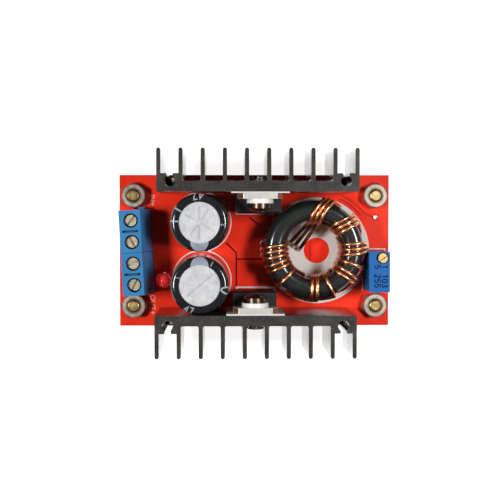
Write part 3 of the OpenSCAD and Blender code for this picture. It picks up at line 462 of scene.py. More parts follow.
# Plain finishes: colour, roughness, metallic, spread of the colour, scale of the grain, bump
solder = plain("bright_solder", (0.66, 0.66, 0.64), 0.26, 0.9, 0.08, 700.0, 0.10)
tinned = plain("tinned_metal", (0.66, 0.64, 0.61), 0.36, 0.8, 0.10, 900.0, 0.12)
tab_metal = plain("tinned_tab", (0.46, 0.44, 0.41), 0.40, 0.45, 0.08, 900.0, 0.12)
nickel = plain("nickel_plate", (0.36, 0.28, 0.20), 0.36, 0.75, 0.18, 1100.0, 0.10)
screw_steel = plain("terminal_screw_plate", (0.46, 0.40, 0.29), 0.34, 0.75, 0.22, 1100.0, 0.12)
brass = plain("turned_brass", (0.50, 0.35, 0.13), 0.30, 0.85, 0.16, 900.0, 0.10)
bronzed = plain("bronzed_steel", (0.060, 0.040, 0.028), 0.26, 0.85, 0.30, 800.0, 0.10)
cut_copper = plain("cut_copper_edge", (0.36, 0.145, 0.055), 0.38, 0.7, 0.20, 1200.0, 0.10)
bare_aluminium = plain("bare_aluminium", (0.70, 0.69, 0.66), 0.34, 0.8, 0.12, 1500.0, 0.30)
black_moulding = plain("black_moulding", (0.011, 0.012, 0.013), 0.44, 0.0, 0.25, 1500.0, 0.20,
                       Specular_IOR_Level=0.25)
silicone = plain("white_silicone", (0.56, 0.55, 0.53), 0.60, 0.0, 0.06, 800.0, 0.20)
nylon = plain("white_nylon", (0.66, 0.65, 0.60), 0.42, 0.0, 0.05, 700.0, 0.10)
rubber = plain("black_rubber", (0.020, 0.020, 0.021), 0.70, 0.0, 0.25, 900.0, 0.25)
core_coat = plain("black_core_coat", (0.010, 0.011, 0.011), 0.20, 0.0, 0.35, 420.0, 0.04,
                  Coat_Weight=0.3, Coat_Roughness=0.08)
ceramic = plain("tan_ceramic", (0.40, 0.25, 0.13), 0.40, 0.0, 0.12, 1500.0, 0.15)
ink = plain("white_ink", (0.66, 0.63, 0.61), 0.55, 0.0, 0.09, 1900.0, 0.25)
word_ink = plain("thin_white_ink", (0.86, 0.44, 0.37), 0.55, 0.0, 0.09, 1900.0, 0.25)
sleeve_ink = plain("sleeve_ink", (0.28, 0.30, 0.32), 0.45, 0.0, 0.08, 1900.0, 0.10)
dark_ink = plain("dark_ink", (0.004, 0.022, 0.085), 0.60, 0.0, 0.15, 1900.0, 0.10,
                 Specular_IOR_Level=0.05)
gap_red = plain("bare_gap_red", (0.065, 0.003, 0.003), 0.50, 0.0, 0.15, 1500.0, 0.10,
                Specular_IOR_Level=0.04)
trace_red = plain("trace_edge_red", (0.52, 0.016, 0.009), 0.50, 0.0, 0.12, 1500.0, 0.10,
                  Specular_IOR_Level=0.06)

FINISH = {
    "circuit_board": board, "solder_joints": solder, "standoffs": stud_brass, "standoff_nuts": nuts,
    "heatsink_upper": sink, "heatsink_lower": sink, "heatsink_screws": nickel,
    "output_terminal_housing": terminal_blue, "input_terminal_housing": terminal_blue,
    "terminal_pins": tinned, "inductor_core": core_coat, "inductor_winding": copper,
    "lamp_lens": lens, "lamp_leads": tinned,
    "trimmer_body": trimmer_blue, "trimmer_screw": brass, "trimmer_leads": tinned,
    "controller_chip": black_moulding, "controller_pins": tinned, "chip_resistors": black_moulding,
    "chip_capacitors": ceramic, "chip_end_caps": solder, "sense_resistor": black_moulding,
    "capacitor_sleeve_1": sleeves[0], "capacitor_sleeve_2": sleeves[1],
}
DEVICE_FINISH = {"tab": tab_metal, "body": black_moulding, "leads": tinned,
                 "pad": silicone, "bush": nylon, "screw": bronzed}
CAPACITOR_FINISH = {"can": can, "seal": rubber, "leads": tinned}
for device in ("rectifier", "switch"):
    FINISH.update({f"{device}_{part}": finish for part, finish in DEVICE_FINISH.items()})
for i in (1, 2):
    FINISH.update({f"capacitor_{part}_{i}": finish for part, finish in CAPACITOR_FINISH.items()})
for i in (1, 2, 3, 4):
    FINISH[f"terminal_screw_{i}"] = screw_steel
    FINISH[f"wire_clamp_{i}"] = tinned

for name, finish in FINISH.items():
    nodes[name].data.materials.clear()
    nodes[name].data.materials.append(finish)


# Rounded edges on the moulded and turned CAD nodes

EDGE_WIDTH = {
    "output_terminal_housing": 0.12, "input_terminal_housing": 0.12, "trimmer_body": 0.10,
    "rectifier_body": 0.08, "switch_body": 0.08, "standoff_nuts": 0.06, "rectifier_tab": 0.05,
    "switch_tab": 0.05, "trimmer_screw": 0.06, "controller_chip": 0.06, "sense_resistor": 0.06,
    **{f"terminal_screw_{i}": 0.10 for i in (1, 2, 3, 4)},
}
EDGE_ANGLE, EDGE_SEGMENTS, WELD = math.radians(35.0), 2, 0.002


def soften(node, width):
    obj = nodes[node]
    weld = obj.modifiers.new("weld", "WELD")
    weld.merge_threshold = WELD * MM
    bevel = obj.modifiers.new("edges", "BEVEL")
    bevel.width = width * MM
    bevel.segments = EDGE_SEGMENTS
    bevel.limit_method = "ANGLE"
    bevel.angle_limit = EDGE_ANGLE
    bevel.use_clamp_overlap = True


for name, width in EDGE_WIDTH.items():
    soften(name, width)


# Mesh pieces, in millimetres in the row frame

# Distance at which corners are one, angle at which faces are level, share of a font's size in a capital
SAME = 0.0001
LEVEL_ANGLE = math.radians(0.5)
CAPITAL = 0.7


def clean(mesh, same, join_level=False):
    """Joins corners that lie on each other, drops faces without area, and joins level faces where asked."""
    work = bmesh.new()
    work.from_mesh(mesh)
    bmesh.ops.remove_doubles(work, verts=work.verts, dist=same)
    bmesh.ops.dissolve_degenerate(work, edges=work.edges, dist=same)
    if join_level:
        bmesh.ops.dissolve_limit(work, angle_limit=LEVEL_ANGLE, verts=work.verts, edges=work.edges)
    work.to_mesh(mesh)
    work.free()


def piece(name, verts, faces, finish, body=ROOT, slot=None, smooth=False):
    """A mesh object that rides on a body."""
    mesh = bpy.data.meshes.new(name)
    mesh.from_pydata([(x * MM, y * MM, z * MM) for x, y, z in verts], [], faces)
    mesh.validate()
    clean(mesh, SAME * MM)
    mesh.materials.append(finish)
    mesh.polygons.foreach_set("use_smooth", [smooth] * len(mesh.polygons))
    obj = bpy.data.objects.new(name, mesh)
    bpy.context.scene.collection.objects.link(obj)
    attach(obj, body)
    return obj


class Shape:
    """Collects vertices and faces of one piece."""

    def __init__(self):
        self.verts = []
        self.faces = []

    def solid(self, verts, faces):
        base = len(self.verts)
        self.verts += [tuple(v) for v in verts]
        self.faces += [[base + k for k in face] for face in faces]

    def prism(self, outline, z0, z1):
        """Closed prism on a convex or star-shaped outline."""
        n = len(outline)
        verts = [(x, y, z) for z in (z0, z1) for x, y in outline]
        faces = [list(range(n - 1, -1, -1)), list(range(n, 2 * n))]
        faces += [[k, (k + 1) % n, n + (k + 1) % n, n + k] for k in range(n)]
        self.solid(verts, faces)

    def ribbon(self, left, right, z0, z1, closed=False):
        """Flat band between two lines with the same number of points."""
        n = len(left)
        verts = [(p[0], p[1], z) for z in (z0, z1) for pair in zip(left, right) for p in pair]
        top, faces = 2 * n, []
        for k in range(n if closed else n - 1):
            a, b = 2 * k, 2 * ((k + 1) % n)
            faces.append([b, b + 1, a + 1, a])
            faces.append([top + a, top + a + 1, top + b + 1, top + b])
            faces.append([a, top + a, top + b, b])
            faces.append([b + 1, top + b + 1, top + a + 1, a + 1])
        if not closed:
            faces += [[2 * k, 2 * k + 1, top + 2 * k + 1, top + 2 * k] for k in (0, n - 1)]
        self.solid(verts, faces)

    def ring(self, centre, r0, r1, z0, z1, steps=96, start=0.0, sweep=360.0):
        """Flat ring, or a part of one, between two radii."""
        closed = sweep >= 360.0
        angles = [math.radians(start + sweep * k / steps) for k in range(steps if closed else steps + 1)]
        inner = [(centre[0] + r0 * math.cos(a), centre[1] + r0 * math.sin(a)) for a in angles]
        outer = [(centre[0] + r1 * math.cos(a), centre[1] + r1 * math.sin(a)) for a in angles]
        self.ribbon(outer, inner, z0, z1, closed)

    def line(self, points, width, z0, z1):
        """A line of constant width with mitred corners."""
        left, right = [], []
        for k, p in enumerate(points):
            before = Vector(points[max(k - 1, 0)])
            after = Vector(points[min(k + 1, len(points) - 1)])
            here = Vector(p)
            a = (here - before).normalized() if k else (after - here).normalized()
            b = (after - here).normalized() if k < len(points) - 1 else a
            side = Vector((-(a.y + b.y), a.x + b.x)).normalized()
            reach = width / 2 / max(0.5, side.dot(Vector((-a.y, a.x))))
            left.append(here + side * reach)
            right.append(here - side * reach)
        self.ribbon(left, right, z0, z1)

    def tube(self, path, radius, sides=16):
        """A round tube along a path of 3-D points, closed at both ends."""
        points = [Vector(p) for p in path]
        verts, faces, n = [], [], len(points)
        side = Vector((1, 0, 0))
        for k, p in enumerate(points):
            course = (points[min(k + 1, n - 1)] - points[max(k - 1, 0)]).normalized()
            side = (side - course * side.dot(course)).normalized()
            other = course.cross(side)
            for m in range(sides):
                a = 2 * math.pi * m / sides
                verts.append(p + radius * (math.cos(a) * side + math.sin(a) * other))
        for k in range(n - 1):
            for m in range(sides):
                a, b = k * sides + m, k * sides + (m + 1) % sides
                faces.append([a, b, b + sides, a + sides])
        faces.append(list(range(sides - 1, -1, -1)))
        faces.append(list(range((n - 1) * sides, n * sides)))
        self.solid(verts, faces)

    def turned(self, centre, profile, steps=32):
        """A solid turned from points of radius and height, which make a loop or end on its axis."""
        n = len(profile)
        pairs = n - 1 if profile[0][0] == 0 else n
        verts, faces = [], []
        for m in range(steps):
            a = 2 * math.pi * m / steps
            verts += [(centre[0] + r * math.cos(a), centre[1] + r * math.sin(a), z) for r, z in profile]
        for m in range(steps):
            a, b = m * n, (m + 1) % steps * n
            faces += [[a + k, b + k, b + (k + 1) % n, a + (k + 1) % n] for k in range(pairs)]
        self.solid(verts, faces)

    def text(self, words, size, place):
        """Words of a given letter height. place turns a letter's (x, y, depth) into a point."""
        curve = bpy.data.curves.new("words", "FONT")
        curve.body = words
        curve.size = size / CAPITAL
        curve.align_x = "CENTER"
        curve.extrude = 0.5
        curve.resolution_u = 3
        holder = bpy.data.objects.new("words", curve)
        bpy.context.scene.collection.objects.link(holder)
        solid = holder.evaluated_get(bpy.context.evaluated_depsgraph_get())
        mesh = bpy.data.meshes.new_from_object(solid)
        clean(mesh, SAME, True)
        self.solid([place(*v.co) for v in mesh.vertices], [list(p.vertices) for p in mesh.polygons])
        bpy.data.objects.remove(holder)
        bpy.data.curves.remove(curve)
        bpy.data.meshes.remove(mesh)

    def build(self, name, finish, **options):
        return piece(name, self.verts, self.faces, finish, **options)


READ_DOWN = -90


def flat_text(at, turn, back, front, reading=1):
    """Places letters on a level face, turned by some degrees, from a back to a front height.

    Letters on the underside have a reading of -1, so that they are read from below.
    """
    c, s = math.cos(math.radians(turn)), math.sin(math.radians(turn))

    def place(x, y, depth):
        x *= reading
        return at[0] + x * c - y * s, at[1] + x * s + y * c, front if depth > 0 else back

    return place


def capsule(a, b, radius, steps=10):
    """Outline of a strip with round ends between two points."""
    a, b = Vector(a), Vector(b)
    heading = math.atan2(b.y - a.y, b.x - a.x)
    outline = []
    for end, turn in ((b, -math.pi / 2), (a, math.pi / 2)):
        for k in range(steps + 1):
            angle = heading + turn + math.pi * k / steps
            outline.append((end.x + radius * math.cos(angle), end.y + radius * math.sin(angle)))
    return outline


# Winding of three parallel strands round the core, on the same course as its solids

STRANDS = range(3)

# Degrees round the core of the strands of each turn, on its inner and its outer side
STRAND_IN = [[81, 91, 101], [34, 44, 54], [-10, 0, 10], [-45, -35, -22],
             [-95, -85, -69], [-161.5, -152, -136.5], [-190, -180.5, -171]]
STRAND_OUT = [[69.5, 74.5, 79.5], [32, 37, 42], [-3, 2, 7], [-39.5, -34, -20.5],
              [-93.7, -88, -67], [-159.5, -153.5, -135], [-181, -175.5, -169]]
STRAND_END = [-186, -179, -172]
LAST_TURN = len(STRAND_IN) - 1

# Shares of the way to the next turn, at the outer rim and in the core's hole
RIM_SHARE = [0.36, 0.36, 0.36, 0.36, 0.36, 0.1]
HOLE_SHARE, HOLE_SPREAD, WANDER = 0.64, 1.6, 0.3

WIRE_D, WIRE_GAP, CORE_ROUND, CORE_ID = 0.9, 0.05, 1.8, 13.8
START_GAP, START_Z, START_PULL, START_STEPS, END_Z = 0.5, 0.5, 3.5, 14, 1.0
START_AT, START_ROW = (-0.66, 0.09), (-0.82, 0.57)
WIRE_R = WIRE_D / 2
PATH_OUT = (CORE_HIGH.x - CORE_LOW.x) / 2 + WIRE_GAP + WIRE_R
PATH_IN = CORE_ID / 2 - WIRE_GAP - WIRE_R
BEND = CORE_ROUND + WIRE_GAP + WIRE_R
LOW = WIRE_GAP + WIRE_R + BEND
HIGH = CORE_HIGH.z - Z_TOP + WIRE_GAP + WIRE_R - BEND
TAIL = box_mm("inductor_winding")[0].z - Z_TOP
QUARTERS = (0.25, 0.5, 0.75)
FIFTHS = (0.2, 0.4, 0.6, 0.8, 1.0)


def between(a, b, t):
    return a + (b - a) * t


def inward(r):
    """0 on the outer side of the winding, 1 on its inner side."""
    return (PATH_OUT - r) / (PATH_OUT - PATH_IN)


def polar(r, h, degrees):
    """A point at a radius and an angle round the core, at a height over the board."""
    a = math.radians(degrees)
    return Vector((CORE.x + r * math.cos(a), CORE.y + r * math.sin(a), Z_TOP + h))


def bend(radius, height, start, steps=6):
    """Points of a quarter turn about a centre of radius and height, from an angle on."""
    angles = [math.radians(start - 90 * k / steps) for k in range(steps + 1)]
    return [(radius + BEND * math.cos(a), height + BEND * math.sin(a)) for a in angles]


TOP_SIDE = [(between(PATH_IN + BEND, PATH_OUT - BEND, k / 5), HIGH + BEND) for k in (1, 2, 3, 4)]
OVER = bend(PATH_IN + BEND, HIGH, 180) + TOP_SIDE + bend(PATH_OUT - BEND, HIGH, 90)
UNDER = bend(PATH_OUT - BEND, LOW, 0) + bend(PATH_IN + BEND, LOW, -90)


def start_of(j):
    """Where a strand leaves the board inside the core."""
    step = (j - 1) * (WIRE_D + START_GAP)
    return (CORE.x + START_AT[0] * PATH_IN + START_ROW[0] * step,
            CORE.y + START_AT[1] * PATH_IN + START_ROW[1] * step)


def start_course(j):
    """From the board up through the open middle to the core's upper edge."""
    start = start_of(j)
    foot = Vector((*start, Z_TOP + START_Z))
    entry = polar(PATH_IN, HIGH, STRAND_IN[0][j])
    pull = Vector((0, 0, START_PULL))
    corners = (foot, foot + pull, entry - pull, entry)
    course = [Vector((*start, Z_TOP + TAIL)), Vector((*start, Z_TOP))]
    for k in range(START_STEPS):
        t = k / START_STEPS
        weights = ((1 - t) ** 3, 3 * (1 - t) ** 2 * t, 3 * (1 - t) * t * t, t ** 3)
        course.append(sum((w * p for w, p in zip(weights, corners)), Vector()))
    return course


def over_core(i, j):
    """Outwards over the core, with a little wander."""
    a, b = STRAND_IN[i][j], STRAND_OUT[i][j]
    wander = rng.uniform(-WANDER, WANDER)
    return [polar(r, h, between(b, a, inward(r)) + wander * math.sin(math.pi * inward(r))) for r, h in OVER]


def under_core(i, j):
    """Down the outside, inwards under the core and up through its middle to the next turn."""
    b, c, rim = STRAND_OUT[i][j], STRAND_IN[i + 1][j], RIM_SHARE[i]
    spread = (j - 1) * HOLE_SPREAD
    foot = between(b, c, HOLE_SHARE) + spread
    course = [polar(PATH_OUT, between(HIGH, LOW, t), between(b, c, rim * t)) for t in QUARTERS]
    for r, h in UNDER:
        share = between(rim, HOLE_SHARE, inward(r))
        course.append(polar(r, h, between(b, c, share) + spread * inward(r)))
    return course + [polar(PATH_IN, between(LOW, HIGH, t), between(foot, c, t)) for t in QUARTERS]


def end_course(j):
    """Down the outside into the board."""
    a, b = STRAND_OUT[-1][j], STRAND_END[j]
    course = [polar(PATH_OUT, between(HIGH, END_Z, t), between(a, b, t)) for t in FIFTHS]
    return course + [polar(PATH_OUT, TAIL, b)]


def strand_path(j):
    path = start_course(j)
    for i in range(LAST_TURN):
        path += over_core(i, j)
        path += under_core(i, j)
    return path + over_core(LAST_TURN, j) + end_course(j)


winding = Shape()
for j in STRANDS:
    winding.tube(strand_path(j), WIRE_R)
strands = winding.build("winding_strands", copper, slot="enamelled_copper", smooth=True)
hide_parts("inductor_winding")

# Radius past the wire's side, and height over the board
FILLET = ((-0.02, 0.0), (0.25, 0.01), (0.12, 0.14), (0.05, 0.35), (-0.02, 0.40))
fillets = Shape()
for j in STRANDS:
    fillets.turned(start_of(j), [(WIRE_R + r, Z_TOP + h) for r, h in FILLET])
fillets.build("strand_fillets_upper", solder, slot="solder", smooth=True)


# White print, bare gaps, traces and a via on the board's upper side

INK = 0.03
GAP = 0.012
UPPER_INK = (Z_TOP, Z_TOP + INK)
UPPER_GAP = (Z_TOP, Z_TOP + GAP)
ROUND_STEPS = 128
THIN, BOLD = 0.26, 0.42
RING_AT, RING_HOLE_R, RING_R = (15.0, 0.0), 3.1, 12.8
CAP_PRINT = (6.95, 7.22)
RECTIFIER_PRINT = [(-4.4, 13.6), (-4.4, 8.75), (4.7, 8.75), (4.7, 13.6)]
SWITCH_PRINT = [(-4.3, -13.6), (-4.3, -8.95), (4.8, -8.95), (4.8, -13.6)]
TRIMMER_EDGE = 0.3

print_top = Shape()
print_top.ring(RING_AT, RING_HOLE_R, RING_R, *UPPER_INK, ROUND_STEPS)
for cap in CAPS:
    print_top.ring(cap, *CAP_PRINT, *UPPER_INK, ROUND_STEPS)
print_top.line(RECTIFIER_PRINT, THIN, *UPPER_INK)
print_top.line(SWITCH_PRINT, BOLD, *UPPER_INK)
left, right = TRIMMER_LOW.x - TRIMMER_EDGE, TRIMMER_HIGH.x + TRIMMER_EDGE
bottom, top = TRIMMER_LOW.y - TRIMMER_EDGE, TRIMMER_HIGH.y + TRIMMER_EDGE
print_top.line([(left, bottom), (left, top), (right, top), (right, bottom)], THIN, *UPPER_INK)
print_top.build("board_print_upper", ink)

WORD_SIZE = 1.25
labels = Shape()
for words, at in (("IN+", (-25.2, 12.1)), ("OUT+", (-25.2, -13.1))):
    labels.text(words, WORD_SIZE, flat_text(at, READ_DOWN, *UPPER_INK))
labels.build("board_words_upper", word_ink)

GAP_W = 0.36
UPPER_GAPS = ([(-6.9, 1.9), (-4.4, -0.6), (-4.4, -8.7)], [(-4.4, -2.1), (2.9, -2.1)],
              [(-1.3, 8.1), (0.8, 6.3)])
gaps = Shape()
for points in UPPER_GAPS:
    gaps.line(points, GAP_W, *UPPER_GAP)
gaps.build("board_gaps_upper", gap_red)

TRACE_W = 0.30
TRACES = ([(26.5, 8.95), (28.6, 8.1)], [(13.5, 2.6), (13.5, -2.6)])
ARC_RADII, ARC_STEPS, ARC_START, ARC_SWEEP = (13.5, 14.5), 24, 38.0, 28.0
VIA = (29.303, 8.0)
VIA_STEPS = 32
VIA_TRACE = (0.52, 0.80)
traces = Shape()
for points in TRACES:
    traces.line(points, TRACE_W, *UPPER_GAP)
for radius in ARC_RADII:
    traces.ring(RING_AT, radius, radius + TRACE_W, *UPPER_GAP, ARC_STEPS, ARC_START, ARC_SWEEP)
traces.ring(VIA, *VIA_TRACE, *UPPER_GAP, VIA_STEPS)
traces.build("board_traces_upper", trace_red)

# Radius, and height over the board
VIA_LAND = ((0.56, 0.0), (0.50, 0.06), (0.40, 0.05), (0.44, -0.3))
via = Shape()
via.turned(VIA, [(r, Z_TOP + h) for r, h in VIA_LAND], VIA_STEPS)
via.build("via_land", solder, slot="solder", smooth=True)


# Underside: lands, solder strips, bare gaps and print

LAND = 0.04
LOWER_LAND = (Z_UNDER - LAND, Z_UNDER)
LOWER_INK = (Z_UNDER - INK, Z_UNDER)
LOWER_GAP = (Z_UNDER - GAP, Z_UNDER)
LAND_IN, LAND_OUT, LAND_STEPS = 0.40, 0.72, 32
HOLE_LAND, HOLE_LAND_STEPS = (2.9, 3.15), 48

# Node, number of leads, pitch along X and Y, radius of a lead
LEADS = (
    ("rectifier_leads", 3, (2.54, 0), 0.47), ("switch_leads", 3, (2.54, 0), 0.47),
    ("capacitor_leads_1", 2, (0, 5.0), 0.40), ("capacitor_leads_2", 2, (0, 5.0), 0.40),
    ("lamp_leads", 2, (0, 2.54), 0.35), ("trimmer_leads", 3, (0, 2.54), 0.25),
)


def lead_row(node, count, pitch):
    at = middle(node).xy
    return [at + Vector(pitch) * (k - (count - 1) / 2) for k in range(count)]


lands = Shape()
for node, count, pitch, radius in LEADS:
    for at in lead_row(node, count, pitch):
        lands.ring(at, radius + LAND_IN, radius + LAND_OUT, *LOWER_LAND, LAND_STEPS)
for hole in HOLES:
    lands.ring(hole, *HOLE_LAND, *LOWER_LAND, HOLE_LAND_STEPS)
lands.build("lands_lower", solder, slot="solder")

# Both ends and the radius of each strip, which has two steps
STRIPS = (
    ((-22.5, 12.0), (-15.5, 12.0), 0.9), ((-24.5, -12.0), (-17.5, -12.0), 0.9),
    ((-4.5, 4.2), (-4.5, -3.8), 1.1), ((24.0, 10.5), (17.0, 14.5), 0.9), ((-8.5, 12.0), (-4.0, 12.0), 0.8),
)
STRIP_STEP, STRIP_SHARE = 0.12, 0.72
strips = Shape()
for a, b, radius in STRIPS:
    strips.prism(capsule(a, b, radius), Z_UNDER - STRIP_STEP, Z_UNDER)
    strips.prism(capsule(a, b, radius * STRIP_SHARE), Z_UNDER - 2 * STRIP_STEP, Z_UNDER - STRIP_STEP)
strips.build("solder_strips_lower", solder, slot="solder")

LOWER_GAP_W = 0.30
LOWER_GAPS = (
    [(-30.5, 0.0), (-24.0, 0.0), (-21.0, 3.0), (-8.0, 3.0), (-6.0, 5.0), (-6.0, 15.5)],
    [(-30.5, -0.8), (-22.0, -0.8), (-9.0, -0.8), (-7.0, -2.8), (-7.0, -15.5)],
    [(6.5, -15.5), (6.5, -9.5), (10.0, -8.0), (24.0, -8.0), (26.0, -10.0), (26.0, -15.5)],
    [(6.0, 15.5), (6.0, 12.2), (12.0, 12.2), (14.0, 14.0)],
)
gaps_low = Shape()
for points in LOWER_GAPS:
    gaps_low.line(points, LOWER_GAP_W, *LOWER_GAP)
gaps_low.build("board_gaps_lower", gap_red)

FINE = 0.2
CHIP_EDGE = 0.5
DOT_AT, DOT_R, DOT_STEPS = (-1.3, 0.3), 0.3, 24
CAP_PRINT_LOW = (6.4, 6.6)
SIGN_SIZE = 1.8
SIGNS = (("+", (-24.2, 9.6)), ("-", (-24.0, 4.6)), ("+", (-23.8, -9.8)), ("-", (-24.0, -4.9)))
print_low = Shape()
for node in ("controller_chip", "sense_resistor"):
    low, high = box_mm(node)
    for x in (low.x - CHIP_EDGE, high.x + CHIP_EDGE):
        print_low.line([(x, low.y), (x, high.y)], FINE, *LOWER_INK)
chip_low = box_mm("controller_chip")[0]
dot = (chip_low.x + DOT_AT[0], chip_low.y + DOT_AT[1])
print_low.ring(dot, 0.0, DOT_R, *LOWER_INK, DOT_STEPS)
for cap in CAPS:
    print_low.ring(cap, *CAP_PRINT_LOW, *LOWER_INK)
for sign, at in SIGNS:
    print_low.text(sign, SIGN_SIZE, flat_text(at, 0, Z_UNDER, Z_UNDER - INK, reading=-1))
print_low.build("board_print_lower", ink)


# Marks on the capacitor sleeves, bent over the lip

LIP_FLAT = CAP_R - LIP_ROUND - LIP_R
LIP_TURN = LIP_ROUND * math.pi / 2
SUNK, PROUD = -0.05, 0.02


def sleeve_point(cap, turn, along, lift):
    """A point on the sleeve, at a turn in radians and a way down from the lip's inner edge."""
    if along < LIP_FLAT:
        r, z, tilt = LIP_R + along, CAP_TOP, 0.0
    else:
        tilt = min((along - LIP_FLAT) / LIP_ROUND, math.pi / 2)
        r = CAP_R - LIP_ROUND + LIP_ROUND * math.sin(tilt)
        z = CAP_TOP - LIP_ROUND + LIP_ROUND * math.cos(tilt) - max(0.0, along - LIP_FLAT - LIP_TURN)
    r += lift * math.sin(tilt)
    return cap.x + r * math.cos(turn), cap.y + r * math.sin(turn), z + lift * math.cos(tilt)


# Corners of each figure's stroke, in a cell 0.6 wide and 1 high
STROKES = {
    "0": [(0.3 + 0.3 * math.cos(a * math.pi / 8), 0.5 + 0.5 * math.sin(a * math.pi / 8))
          for a in range(17)],
    "1": [(0.15, 0.8), (0.35, 1.0), (0.35, 0.0)],
    "2": [(0.0, 0.78), (0.15, 0.98), (0.42, 0.98), (0.56, 0.75), (0.0, 0.0), (0.6, 0.0)],
    "3": [(0.03, 0.9), (0.3, 1.0), (0.55, 0.8), (0.3, 0.55), (0.6, 0.28), (0.3, 0.0), (0.0, 0.12)],
    "4": [(0.45, 0.0), (0.45, 1.0), (0.0, 0.3), (0.6, 0.3)],
    "5": [(0.55, 1.0), (0.08, 1.0), (0.04, 0.55), (0.38, 0.6), (0.6, 0.32), (0.4, 0.02), (0.0, 0.08)],
    "7": [(0.0, 1.0), (0.6, 1.0), (0.2, 0.0)],
    "|": [(0.3, 0.0), (0.3, 1.0)],
}
STROKE_STEP, FIGURE_W, FIGURE_PITCH = 0.06, 0.6, 0.85


def stroke(figure):
    """Points along a figure's stroke, close enough to bend with the sleeve."""
    corners = STROKES[figure]
    points = [corners[0]]
    for (x0, y0), (x1, y1) in zip(corners, corners[1:]):
        parts = math.ceil(math.hypot(x1 - x0, y1 - y0) / STROKE_STEP)
        points += [(between(x0, x1, k / parts), between(y0, y1, k / parts)) for k in range(1, parts + 1)]
    return points


def write(shape, figures, size, weight, place):
    """Figures of a given height and stroke width. place turns a figure's (x, y, depth) into a point."""
    flat = Shape()
    start = -(FIGURE_PITCH * (len(figures) - 1) + FIGURE_W) / 2
    for k, figure in enumerate(figures):
        if figure in STROKES:
            points = [((start + FIGURE_PITCH * k + x) * size, y * size) for x, y in stroke(figure)]
            flat.line(points, weight, 0, 1)
    shape.solid([place(*vert) for vert in flat.verts], flat.faces)


def on_sleeve(cap, side, along):
    """Places figures on a side of a sleeve, with their feet at a way down from the lip's inner edge."""

    def place(x, y, depth):
        return sleeve_point(cap, math.radians(side) + x / CAP_R, along - y, PROUD if depth else SUNK)

    return place


# Figures, their height, side of the sleeve in degrees, way down from the lip's inner edge
MARKS = (
    (("47", 1.7, 93, 2.3), ("|", 2.3, 149, 2.4), ("|", 2.6, 177, 2.7), ("2", 1.0, 354, 1.2),
     ("470", 3.0, 20, 12.0), ("50", 2.2, 20, 15.5)),
    (("0", 2.6, 350, 2.9), ("47", 1.5, 246, 2.1), ("1", 1.2, 60, 1.6), ("1", 0.9, 160, 1.0),
     ("470", 3.0, 200, 12.0), ("50", 2.2, 200, 15.5)),
)
MARK_WEIGHT = 0.16
for i, (cap, rows) in enumerate(zip(CAPS, MARKS), 1):
    marks = Shape()
    for figures, size, side, along in rows:
        write(marks, figures, size, MARK_WEIGHT * size, on_sleeve(cap, side, along))
    marks.build(f"sleeve_marks_{i}", sleeve_ink)


# Copper on the cut corners of the device tabs

CUT_ACROSS, CUT_DOWN = 1.2, 2.4
FILM, FILM_LAYERS = 0.02, (-2.0, 1.0)
FOOT_SHARE, FOOT_INSET = 0.08, 0.08
TIP_SHARE, TIP_INSET = 0.94, 0.14
BOX_SIDES = [[k, (k + 1) % 4, 4 + (k + 1) % 4, 4 + k] for k in range(4)]


def cut_corner(shape, low, high, side):
    """A thin film on the slope that cuts one upper corner of a tab, set back from its edges."""
    x = high.x if side > 0 else low.x
    out = Vector((side * CUT_DOWN, 0, CUT_ACROSS)).normalized() * FILM
    foot = Vector((x, 0, high.z - CUT_DOWN))
    tip = Vector((x - side * CUT_ACROSS, 0, high.z))
    edges = ((FOOT_SHARE, low.y + FOOT_INSET), (TIP_SHARE, low.y + TIP_INSET),
             (TIP_SHARE, high.y - TIP_INSET), (FOOT_SHARE, high.y - FOOT_INSET))
    corners = []
    for lift in FILM_LAYERS:
        for t, y in edges:
            at = foot + (tip - foot) * t + out * lift
            corners.append((at.x, y, at.z))
    shape.solid(corners, [[3, 2, 1, 0], [4, 5, 6, 7]] + BOX_SIDES)


cut = Shape()
for node in ("rectifier_tab", "switch_tab"):
    low, high = box_mm(node)
    for side in (-1, 1):
        cut_corner(cut, low, high, side)
cut.build("tab_cut_corners", cut_copper, slot="tinned_metal")


# Torn metal at the screw channels and round the screw tips of the heatsinks

FLAKE_FACES = [[0, 2, 4], [2, 1, 4], [1, 3, 4], [3, 0, 4], [2, 0, 5], [1, 2, 5], [3, 1, 5], [0, 3, 5]]
SINKS = (("heatsink_upper", 1, "rectifier_screw"), ("heatsink_lower", -1, "switch_screw"))
BASE_T, CHANNEL_LIP, FIN_PITCH, FIN_T = 2.35, 1.7, 4.9, 0.95
FLAKE_SPREAD, FLAKE_RISE, FLAKE_DROP = (0.35, 1.0), 0.5, 0.6

# Number and size of the flakes, and how far they lie out, back and down, or along and in from an edge
LIP_FLAKES, LIP_FLAKE = 4, 0.16
LIP_OUT, LIP_BACK, LIP_DOWN = (0.95, 1.25), (0.0, 0.9), (0.05, 0.5)
BURRS, BURR = 26, 0.45
BURR_OUT, BURR_BACK = (1.7, 2.0), (0.0, 0.8)
ROW_FLAKE, ROW_PLACES = 0.10, [0.1 + 0.11 * k for k in range(16)]
LONE_FLAKE, LONE_PLACES = 0.12, (3.2, 4.1, 4.4, 7.1, 11.6)
EDGE_BACK, EDGE_DOWN = 0.05, 0.03


def flake(shape, at, size):
    """A small torn chip with six uneven corners."""

    def off(k):
        return rng.uniform(*FLAKE_SPREAD) * size * k

    x, y, z = at
    corners = [(x + off(1), y, z), (x - off(1), y, z), (x, y + off(1), z), (x, y - off(1), z),
               (x, y, z + off(FLAKE_RISE)), (x, y, z - off(FLAKE_DROP))]
    shape.solid(corners, FLAKE_FACES)


